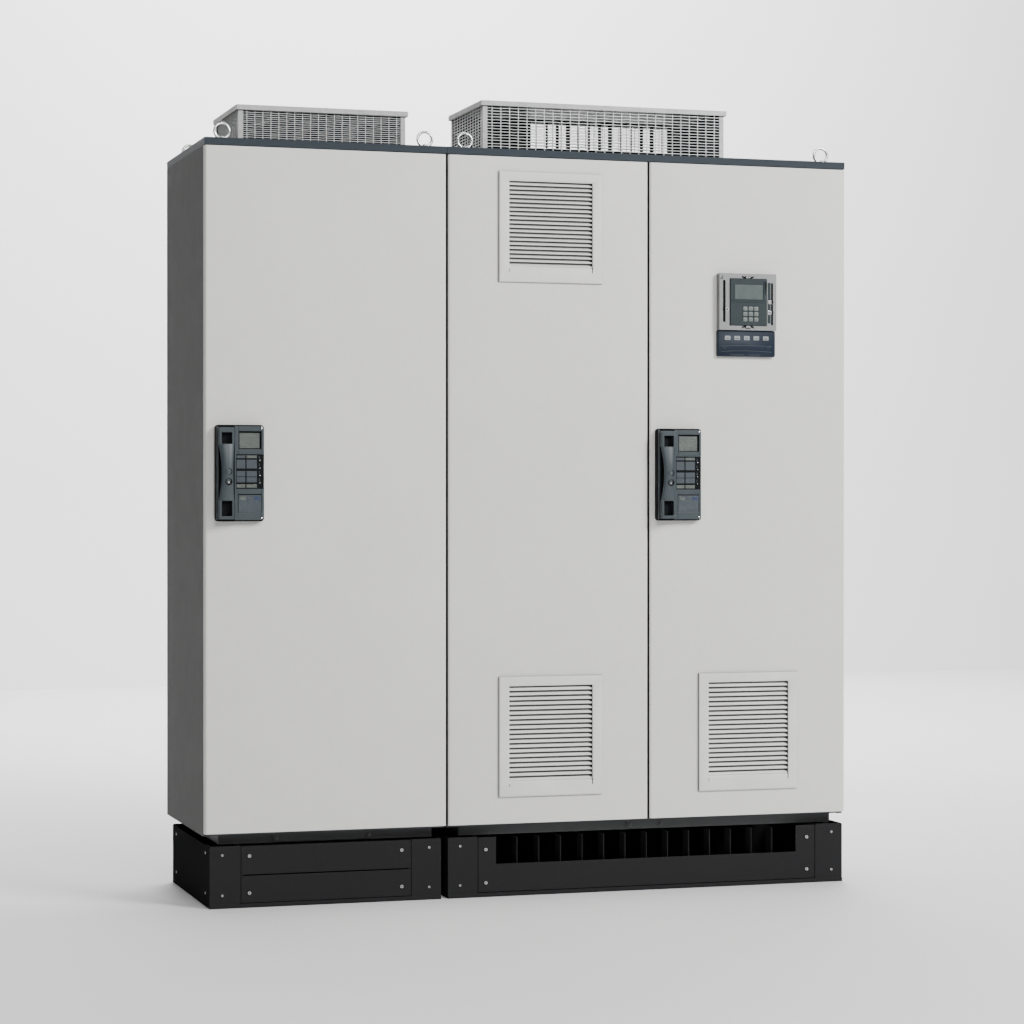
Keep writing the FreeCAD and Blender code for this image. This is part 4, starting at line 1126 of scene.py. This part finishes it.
def roof_parts():
    for side in ("left", "right"):
        dress("roof_" + side, ROOF_PAINT, bevel=1.2)
        hood(side)
    lifting_eyes()


def hood(side):
    dress("hood_frame_" + side, HOOD_STEEL, bevel=0.4)
    hood_lid(side)
    hood_screens(side)
    hood_back(side)


def hood_lid(side):
    """Folded lid, open below, with rounded edges and rivets."""
    node = "hood_lid_" + side
    lo, hi = mm(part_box(node))
    lid = Piece(node + "_sheet", body_of(node), HOOD_STEEL)
    corners = [(lo.x, lo.y), (hi.x, lo.y), (hi.x, hi.y), (lo.x, hi.y)]
    lid.loft([[(x, y, lo.z) for x, y in corners], [(x, y, hi.z) for x, y in corners]], caps=False)
    lid.bm.faces.new([v for v in lid.bm.verts if v.co.z > hi.z * MM - SAME_POINT])
    lid.done(bevel=1.4, replaces=(node,), thickness=1.5, angle=40.0)
    rivets = Piece(node + "_rivets", body_of(node), BRIGHT_STEEL)
    for x in (lo.x + 12, hi.x - 12):
        for y, way in ((lo.y, -1), (hi.y, 1)):
            place = (x, y - way * 1, lo.z + 7)
            rivets.turned(place, (0, way, 0), [(0, 3), (0.6, 2.6), (0.95, 1.2)], sides=14)
    rivets.done(bevel=0)


HOOD_BARS = 13


def hood_back(side):
    """Dark sheets inside the rear and right screens, painted shade for the hood's dark inside. The right hood's
    rear sheet has a wide barred window.
    """
    lo, hi = mm(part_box("hood_screens_" + side))
    sheet = Piece("hood_back_" + side, body_of("hood_screens_" + side), FAN_STEEL_SHADE)
    x0, x1 = lo.x + 4, hi.x - 4
    y0, y1 = hi.y - 8, hi.y - 6.5
    z0, z1 = lo.z, hi.z
    sheet.box((x1 - 3, lo.y + 8, z0), (x1 - 1.5, y0, z1))
    if side == "left":
        sheet.box((x0, y0, z0), (x1, y1, z1))
    else:
        wx0, wx1 = (x0 + share * (x1 - x0) for share in (0.33, 0.93))
        wz0, wz1 = (z0 + share * (z1 - z0) for share in (0.46, 0.97))
        sheet.frame((x0, x1, z0, z1), (wx0, wx1, wz0, wz1), y0, y1)
        for k in range(HOOD_BARS):
            x = wx0 + (k + 0.5) * (wx1 - wx0) / HOOD_BARS
            half = 2.0 + 1.6 * (k * 5 % 4)
            sheet.box((x - half, y0, wz0), (x + half, y1, wz1))
    sheet.done(bevel=0.3)


CELLS = {"left": (24, 6), "right": (27, 9)}
WIRE_RADIUS = {"left": 1.0, "right": 1.35}


def hood_screens(side):
    """Woven wire on four sides: widely spaced uprights, close cross wires pressed over them."""
    node = "hood_screens_" + side
    lo, hi = mm(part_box(node))
    body = body_of(node)
    for face, start, along, length in (
        ("front", (lo.x, lo.y + 1), (1, 0), hi.x - lo.x),
        ("back", (lo.x, hi.y - 1), (1, 0), hi.x - lo.x),
        ("left", (lo.x + 1, lo.y), (0, 1), hi.y - lo.y),
        ("right", (hi.x - 1, lo.y), (0, 1), hi.y - lo.y),
    ):
        screen = Piece(node + "_" + face, body, MESH_WIRE)
        woven_screen(screen, side, start, along, length, lo.z, hi.z)
        screen.done(bevel=0, replaces=(node,), angle=80.0)


def woven_screen(screen, side, start, along, length, z0, z1):
    """One flat screen, with slightly uneven wires."""
    columns = round(length / CELLS[side][0])
    rows = round((z1 - z0) / CELLS[side][1])
    radius = WIRE_RADIUS[side]
    across = (-along[1], along[0])

    def place(distance, depth, z):
        x = start[0] + along[0] * distance + across[0] * depth
        y = start[1] + along[1] * distance + across[1] * depth
        return x, y, z

    for i in range(columns + 1):
        distance = length * i / columns
        wobble = random.uniform(-0.4, 0.4)
        middle = (z0 + z1) / 2
        upright = [(distance + wobble, z0), (distance, middle), (distance - wobble, z1)]
        screen.wire([place(along_wire, 0, z) for along_wire, z in upright], radius, 0, 6)
    for j in range(rows + 1):
        height = z0 + 1 + (z1 - z0 - 2) * j / rows
        points = []
        for i in range(2 * columns + 1):
            sag = random.uniform(-0.7, 0.7) if 0 < j < rows else 0
            weave = 0.7 if (i // 2 + j) % 2 else -0.7
            points.append(place(length * i / (2 * columns), weave if i % 2 == 0 else 0, height + sag))
        screen.wire(points, radius, 0, 6)


EYE_RADIUS = 21.4
EYE_WIRE = 4.1


def lifting_eyes():
    """Forged ring bolts with a shouldered collar."""
    top = mm(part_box("lifting_eyes"))[1].z
    roof_z = mm(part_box("roof_left"))[1].z
    eyes = Piece("lifting_eyes_forged", body_of("lifting_eyes"), BRIGHT_STEEL)
    collar = [(0, 13), (4, 13), (6, 11), (9, 7), (11, 5.5)]
    for x, y in eye_places():
        eyes.ring((x, y, top - EYE_RADIUS - EYE_WIRE), (0, 1, 0), EYE_RADIUS, EYE_WIRE)
        eyes.turned((x, y, roof_z), UP, collar, sides=28)
        eyes.turned((x, y, roof_z - 3), UP, [(0, 6), (3.2, 6)], sides=20)
    eyes.done(bevel=0, replaces=("lifting_eyes",), angle=50.0)


def eye_places():
    """Where the shanks pass through the roof: the middles of the node's lowest rings of points."""
    points = [v.co for v in NODES["lifting_eyes"].data.vertices]
    bottom = min(p.z for p in points)
    low = [p for p in points if p.z < bottom + 0.1 * MM]
    places = []
    for point in low:
        near = [q for q in low if (q - point).length < 15 * MM]
        middle = sum(near, Vector()) / len(near)
        spot = (round(middle.x, 3) / MM, round(middle.y, 3) / MM)
        if all(abs(spot[0] - p[0]) > 20 or abs(spot[1] - p[1]) > 20 for p in places):
            places.append(spot)
    return places


# ------------------------------------------------------------------ plinths and enclosures

def plinths():
    for side in ("left", "right"):
        dress("plinth_" + side + "_frame", PLINTH_PAINT)
        dress("plinth_" + side + "_panels", PLINTH_PAINT, bevel=0.7)
    dress("plinth_right_front", PLINTH_PAINT, bevel=0.6)
    dress("panel_screws", SCREW_STEEL)
    plinth_details()


SOCKET_SHARE = 0.64


def plinth_details():
    """Black hexagons as painted shade in the sockets of the screws, side screws with the same, and strips in
    plinth paint behind the panel gaps that keep the gaps dark as painted shade.
    """
    left_lo, left_hi = mm(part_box("plinth_left_panels"))
    right_lo, right_hi = mm(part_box("plinth_right_panels"))
    front = left_lo.y
    body = body_of("plinth_left_panels")
    # Strips behind the panel gaps: painted shade in the gaps.
    gap_shade_strips = Piece("plinth_gap_shade_strips", body, PLINTH_PAINT)
    for lo, hi in ((left_lo, left_hi), (right_lo, right_hi)):
        for x in (lo.x + 89.5, hi.x - 89.5):
            gap_shade_strips.box((x - 7, front + 3, 14), (x + 7, front + 4.5, 172))
    gap_shade_strips.done(bevel=0.2)
    screws = Piece("plinth_side_screws", body, SCREW_STEEL, BLACK_PLASTIC_AND_SHADE)
    for x, way in ((left_lo.x, -1), (right_hi.x, 1)):
        for y in (front + 62, left_hi.y - 62):
            for z in (38, 152):
                screws.turned((x, y, z), (way, 0, 0), [(0, 3.6), (1.2, 3.4), (1.6, 2.6)], 0, 18)
                # Black hexagon: painted shade in the socket.
                screws.turned((x, y, z), (way, 0, 0), [(1.5, 1.8), (1.8, 1.8)], 1, 6)
    screws.done(bevel=0)
    # Black hexagons on the panel screws: painted shade in their sockets.
    socket_shade = Piece("panel_screw_socket_shade", body, BLACK_PLASTIC_AND_SHADE)
    face = mm(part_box("panel_screws"))[0].y
    for x, z, radius in screw_places():
        socket = SOCKET_SHARE * radius
        socket_shade.turned((x, face + 1.75, z), FORWARD, [(0, socket), (0.3, socket)], 0, 6)
    socket_shade.done(bevel=0)


def screw_places():
    """Middle and radius of each screw head, from the clusters of the node's points."""
    clusters = []
    for vertex in NODES["panel_screws"].data.vertices:
        spot = Vector((vertex.co.x, vertex.co.z))
        near = next((c for c in clusters if (c[0] - spot).length < 14 * MM), None)
        if near:
            near.append(spot)
        else:
            clusters.append([spot])
    places = []
    for points in clusters:
        x0, x1 = min(p.x for p in points), max(p.x for p in points)
        z0, z1 = min(p.y for p in points), max(p.y for p in points)
        places.append(((x0 + x1) / 2 / MM, (z0 + z1) / 2 / MM, (x1 - x0) / 2 / MM))
    return places


def enclosures():
    for side in ("left", "right"):
        dress("frame_" + side, RAIL_STEEL, bevel=0.8)
        # Side and rear panels in the darkened paint: painted shade.
        dress("side_panel_" + side, SIDE_PAINT_SHADED, bevel=0.6)
        dress("rear_panel_" + side, SIDE_PAINT_SHADED, bevel=0.6)
        dress("mounting_plate_" + side, FRAME_STEEL, bevel=0.5)
        dress("fan_rotor_" + side, BLACK_PLASTIC_AND_SHADE)
    dress("gland_plates", FRAME_STEEL, bevel=0.3)
    dress("hinge_brackets", FRAME_STEEL, bevel=0.3)
    # Fan housings near-black: painted shade inside the hoods.
    dress("fan_housings", FAN_STEEL_SHADE, bevel=0.8)
    dress("main_switch_knob", BLACK_PLASTIC_AND_SHADE, bevel=1.0)


# ------------------------------------------------------------------ inside

POLE_PITCH = 100
LIMB_PITCH = 140
CORE_LAYERS = 22
COIL_TURNS = 16
MODULE_PITCH = 350
MODULE_WIDTH = 310


def inside():
    main_switch()
    line_choke()
    power_modules()
    for side in ("left", "right"):
        post_perforation(side)
        wiring(side)
    base_bolts()


def main_switch():
    """Switch body: arc-chute slots, barriers between the poles, terminals with bolts and a name plate."""
    node = "main_switch"
    lo, hi = mm(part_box(node))
    middle = (lo.x + hi.x) / 2
    z0 = lo.z + 40
    z1 = hi.z - 40
    housing = Piece(node + "_housing", body_of(node), DEVICE_PLASTIC, BLACK_PLASTIC_AND_SHADE, LABEL_WARM)
    housing.box((lo.x, lo.y + 12, z0), (hi.x, hi.y, z1))
    housing.box((lo.x + 30, lo.y, z0 + 30), (hi.x - 30, lo.y + 12, z1 - 30))
    # Black patches on the top and bottom for the arc-chute slots: painted shade in the slots.
    for k in range(12):
        x = lo.x + 14 + 24 * k
        for z in (z0 - 0.4, z1 - 5.6):
            housing.box((x, lo.y + 20, z), (x + 8, hi.y - 30, z + 6), 1)
    for k in range(4):
        x = min(max(lo.x + POLE_PITCH * k, lo.x + 2), hi.x - 2)
        for a, b in ((lo.z + 4, z0), (z1, hi.z - 4)):
            housing.box((x - 1.5, hi.y - 100, a), (x + 1.5, hi.y - 8, b))
    housing.box((middle + 50, lo.y - 0.6, z0 + 44), (middle + 104, lo.y, z0 + 76), 2)
    housing.turned((middle, lo.y + 1, (z0 + z1) / 2), FORWARD, [(0, 46), (1.6, 44)], 1, 40)
    housing.done(bevel=1.2, replaces=(node,))
    bars = Piece(node + "_terminals", body_of(node), BUSBAR_COPPER, BRIGHT_STEEL)
    for k in range(3):
        x = middle + POLE_PITCH * (k - 1)
        for a, b in ((lo.z, z0), (z1, hi.z)):
            bars.box((x - 18, hi.y - 60, a), (x + 18, hi.y - 54, b))
            bolt = (x, hi.y - 60, (a + b) / 2)
            bars.turned(bolt, FORWARD, [(0, 9), (1.6, 9)], 1, 24)
            bars.turned(bolt, FORWARD, [(1.6, 6.5), (7, 6.5)], 1, 6)
    bars.done(bevel=0.5)


def line_choke():
    """Three-limb laminated core, a wound copper coil on each limb, clamps and terminal tabs."""
    node = "line_choke"
    lo, hi = mm(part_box(node))
    middle = (lo.x + hi.x) / 2
    y0 = lo.y + 28
    y1 = hi.y - 28
    core = Piece(node + "_core", body_of(node), IRON_CORE, BRIGHT_STEEL)
    for k in range(CORE_LAYERS):
        y = y0 + (y1 - y0) * k / CORE_LAYERS
        thick = (y1 - y0) / CORE_LAYERS - 0.8
        for z_lo, z_hi in ((lo.z, lo.z + 60), (hi.z - 60, hi.z)):
            core.box((lo.x, y, z_lo), (hi.x, y + thick, z_hi))
    for k in (-1, 0, 1):
        x = middle + LIMB_PITCH * k
        core.box((x - 35, y0, lo.z + 60), (x + 35, y1, hi.z - 60))
    for z in (lo.z + 30, hi.z - 30):
        for x in (lo.x + 20, middle - LIMB_PITCH / 2, middle + LIMB_PITCH / 2, hi.x - 20):
            core.turned((x, y0, z), FORWARD, [(0, 10), (2, 10), (2.2, 7), (9, 7)], 1, 6)
    core.done(bevel=0.3, replaces=(node,))
    coils = Piece(node + "_coils", body_of(node), COIL_COPPER, GASKET_FOAM_AND_SHADE, BUSBAR_COPPER)
    z0 = lo.z + 66
    z1 = hi.z - 66
    for k in (-1, 0, 1):
        x = middle + LIMB_PITCH * k
        for j in range(COIL_TURNS):
            z = z0 + (z1 - z0) * j / COIL_TURNS
            coil_turn(coils, x, (lo.y + hi.y) / 2, z, 66, (hi.y - lo.y) / 2, (z1 - z0) / COIL_TURNS - 1.5)
        for a in (z0 + 2, z1 - 8):
            coils.box((x - 64, lo.y + 1, a), (x + 64, lo.y + 3, a + 6), 1)
        coils.box((x - 14, lo.y - 4, z1 - 40), (x + 14, lo.y, hi.z - 12), 2)
    coils.done(bevel=0.6)


def coil_turn(coils, x, y, z, half_x, half_y, height):
    """One flat turn: a ring with round corners."""
    outer = rounded_outline(x - half_x, x + half_x, y - half_y, y + half_y, 16, 4)
    inner = rounded_outline(x - half_x + 28, x + half_x - 28, y - half_y + 26, y + half_y - 26, 3, 4)
    rings = [[(a, b, h) for a, b in outline] for outline, h in
             ((outer, z), (outer, z + height), (inner, z + height), (inner, z), (outer, z))]
    coils.loft(rings, caps=False)
    bmesh.ops.remove_doubles(coils.bm, verts=coils.bm.verts, dist=SAME_POINT)


def power_modules():
    """Finned blocks as in the frame, shown in galvanised finish, each with a vented front cover, lugs and a plug
    row.
    """
    node = "power_modules"
    lo, hi = mm(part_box(node))
    dress(node, FRAME_STEEL, bevel=0.6)
    covers = Piece(node + "_covers", body_of(node), DEVICE_PLASTIC, BLACK_PLASTIC_AND_SHADE, LABEL_WARM)
    metal = Piece(node + "_lugs", body_of(node), BUSBAR_COPPER, BRIGHT_STEEL)
    for k in range(3):
        x0 = lo.x + MODULE_PITCH * k
        x1 = x0 + MODULE_WIDTH
        front = lo.y - 14
        covers.slab(rounded_outline(x0 + 4, x1 - 4, lo.z + 60, hi.z - 90, 10), front, lo.y)
        # Black bars across each cover stand for its vent slots: painted shade in the slots.
        for j in range(14):
            z = lo.z + 90 + 12 * j
            covers.box((x0 + 40, front - 1.2, z), (x1 - 40, front + 2, z + 5), 1)
        covers.box((x0 + 60, front - 0.6, hi.z - 180), (x1 - 60, front, hi.z - 120), 2)
        covers.box((x0 + 50, front - 8, lo.z + 320), (x1 - 50, front, lo.z + 344), 1)
        for j in range(12):
            x = x0 + 58 + 16.6 * j
            metal.turned((x, front - 8, lo.z + 332), FORWARD, [(0, 3), (0.8, 2.6)], 1, 12)
        for j in range(3):
            x = x0 + 75 + 80 * j
            metal.box((x - 18, lo.y - 30, hi.z - 70), (x + 18, lo.y, hi.z - 62))
            metal.turned((x, lo.y - 16, hi.z - 62), UP, [(0, 9), (7, 9)], 1, 6)
    covers.done(bevel=1.0)
    metal.done(bevel=0.5)


def post_perforation(side):
    """The rows of square fixing holes down the front posts, drawn as black squares on the posts as painted shade
    in the holes.
    """
    node = "frame_" + side
    lo, hi = mm(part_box(node))
    holes = Piece(node + "_perforation_shade", body_of(node), BLACK_PLASTIC_AND_SHADE)
    for x in (lo.x + 20, hi.x - 20):
        for k in range(70):
            z = lo.z + 90 + 25 * k
            if z < hi.z - 80:
                holes.box((x - 4.5, lo.y - 0.25, z), (x + 4.5, lo.y + 1, z + 9))
    holes.done(bevel=0)


POWER_BLOCK = (17.5, 62, 42)
SIGNAL_BLOCK = (6.2, 42, 24)


def wiring(side):
    """Slotted cable ducts down both edges of the mounting plate and a rail of terminal blocks.

    A block's numbers are its width, its depth and half its height."""
    node = "mounting_plate_" + side
    lo, hi = mm(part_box(node))
    body = body_of(node)
    ducts = Piece(node + "_ducts", body, DEVICE_PLASTIC)
    front = lo.y
    for x in (lo.x + 12, hi.x - 52):
        cable_duct(ducts, x, front, lo.z + 420, hi.z - 60)
    ducts.done(bevel=0.5)
    rail = Piece(node + "_terminals", body, FRAME_STEEL, DEVICE_PLASTIC, KEY_RUBBER, BRIGHT_STEEL)
    rail_z = hi.z - 100
    x0 = lo.x + 80
    x1 = min(hi.x - 80, x0 + 480)
    rail.box((x0, front - 7.5, rail_z - 17.5), (x1, front - 6, rail_z + 17.5))
    rail.box((x0, front - 6, rail_z - 12), (x1, front, rail_z + 12))
    x = x0 + 12
    index = 0
    while x < x1 - 40:
        wide, deep, tall = POWER_BLOCK if index % 9 < 3 else SIGNAL_BLOCK
        block = [(front - 8, rail_z - tall), (front - deep * 0.7, rail_z - tall),
                 (front - deep, rail_z - tall * 0.45), (front - deep, rail_z + tall * 0.45),
                 (front - deep * 0.7, rail_z + tall), (front - 8, rail_z + tall)]
        rail.bar_x(block, x, x + wide - 0.5, 1 if index % 2 else 2)
        for z in (rail_z - tall * 0.72, rail_z + tall * 0.72):
            place = (x + wide / 2, front - deep * 0.84, z)
            rail.turned(place, FORWARD, [(0, 2.2), (1.5, 2.0)], 3, 12)
        x += wide
        index += 1
    rail.done(bevel=0.4)


def cable_duct(ducts, x, front, z0, z1):
    """A slotted trunk: back, lid and a comb of fingers on both sides."""
    width = 40
    depth = 60
    ducts.box((x, front - 2, z0), (x + width, front, z1))
    ducts.box((x - 1, front - depth, z0), (x + width + 1, front - depth + 2.5, z1))
    pitch = 12.5
    count = int((z1 - z0) / pitch)
    for k in range(count):
        z = z0 + k * pitch
        for side_x in (x, x + width - 1.5):
            ducts.box((side_x, front - depth + 2, z), (side_x + 1.5, front - 1.5, z + 8))


BASE_BOLT_PLACES = (-762, -490, 308.5, 406.5)
BASE_BOLT_HEIGHT = 190


def base_bolts():
    """Bolts through the ends of the joining plates on the front base rails."""
    rail_y = mm(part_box("door_left"))[0].y + 56
    bolts = Piece("base_rail_bolts", body_of("frame_left"), RAIL_STEEL, DARK_STEEL)
    for x in BASE_BOLT_PLACES:
        place = (x, rail_y, BASE_BOLT_HEIGHT)
        bolts.box((x - 10, rail_y - 2, BASE_BOLT_HEIGHT - 9), (x + 10, rail_y, BASE_BOLT_HEIGHT + 11))
        bolts.turned(place, FORWARD, [(1.5, 7), (3, 7)], 0, 24)
        bolts.turned(place, FORWARD, [(3, 5), (7, 4.8)], 1, 6)
    bolts.done(bevel=0.4)


# ------------------------------------------------------------------ studio

STAGE_HALF = 14000
BACKDROP = 9000
CAMERA_PLACE = (-2.422, -7.807, 1.146)
CAMERA_YAW = math.radians(17.3)
CAMERA_PITCH = math.radians(-0.19)


def studio():
    """Plain pale floor and backdrop, soft key from the front right, weak fill, and the camera."""
    floor = Piece("studio_floor", "cabinet", stage_paint())
    floor.box((-STAGE_HALF, -16000, -20), (STAGE_HALF, BACKDROP, -0.2))
    floor.done(bevel=0)
    backdrop = Piece("studio_backdrop", "cabinet", stage_paint())
    backdrop.box((-STAGE_HALF, BACKDROP, -20), (STAGE_HALF, BACKDROP + 100, 12000))
    backdrop.done(bevel=0)
    area_light("key_light", (4.4, -6.2, 5.0), (0.2, 0, 1.2), 2.6, 760)
    area_light("front_fill", (-0.4, -8.6, 5.4), (0, 0, 1.1), 3.0, 430)
    area_light("top_light", (1.2, 1.5, 6.2), (0.8, 1.5, 0.0), 3.5, 110)
    area_light("backdrop_light", (1.5, 4.5, 7.5), (2.5, 9, 3.0), 5.0, 1500)
    world = bpy.data.worlds.new("studio_world")
    world.use_nodes = True
    world.node_tree.nodes["Background"].inputs["Color"].default_value = (1, 1, 1, 1)
    world.node_tree.nodes["Background"].inputs["Strength"].default_value = 0.09
    bpy.context.scene.world = world
    camera()


def stage_paint():
    look = Look("stage_paint")
    look.colour(look.ramp(look.noise(0.6, 2.0), [(0.3, (0.90, 0.90, 0.90)), (0.7, (0.93, 0.93, 0.93))]))
    look.rough(look.noise(4.0, 2.0), 0.6, 0.7)
    return look.material


def area_light(name, place, target, size, power):
    data = bpy.data.lights.new(name, "AREA")
    data.size = size
    data.energy = power
    light = bpy.data.objects.new(name, data)
    light.location = place
    light.rotation_mode = "QUATERNION"
    light.rotation_quaternion = (Vector(target) - Vector(place)).to_track_quat("-Z", "Y")
    bpy.context.scene.collection.objects.link(light)


def camera():
    """Long lens from the front left, at about the cabinets' half height."""
    yaw, pitch = CAMERA_YAW, CAMERA_PITCH
    data = bpy.data.cameras.new("camera")
    data.lens = 95.35
    data.sensor_width = 36.0
    data.clip_end = 60.0
    shot = bpy.data.objects.new("camera", data)
    ahead = Vector((math.sin(yaw) * math.cos(pitch), math.cos(yaw) * math.cos(pitch), math.sin(pitch)))
    right = Vector((math.cos(yaw), -math.sin(yaw), 0))
    up = right.cross(ahead)
    turn = Matrix((right, up, -ahead)).transposed().to_4x4()
    shot.matrix_world = Matrix.Translation(CAMERA_PLACE) @ turn
    bpy.context.scene.collection.objects.link(shot)
    bpy.context.scene.camera = shot


doors()
for grille_node in ("grille_centre_top", "grille_centre_bottom", "grille_right_bottom"):
    grille(grille_node)
for handle_side in ("left", "right"):
    handle(handle_side)
    lock_rods(handle_side)
keypad()
roof_parts()
plinths()
enclosures()
inside()
studio()
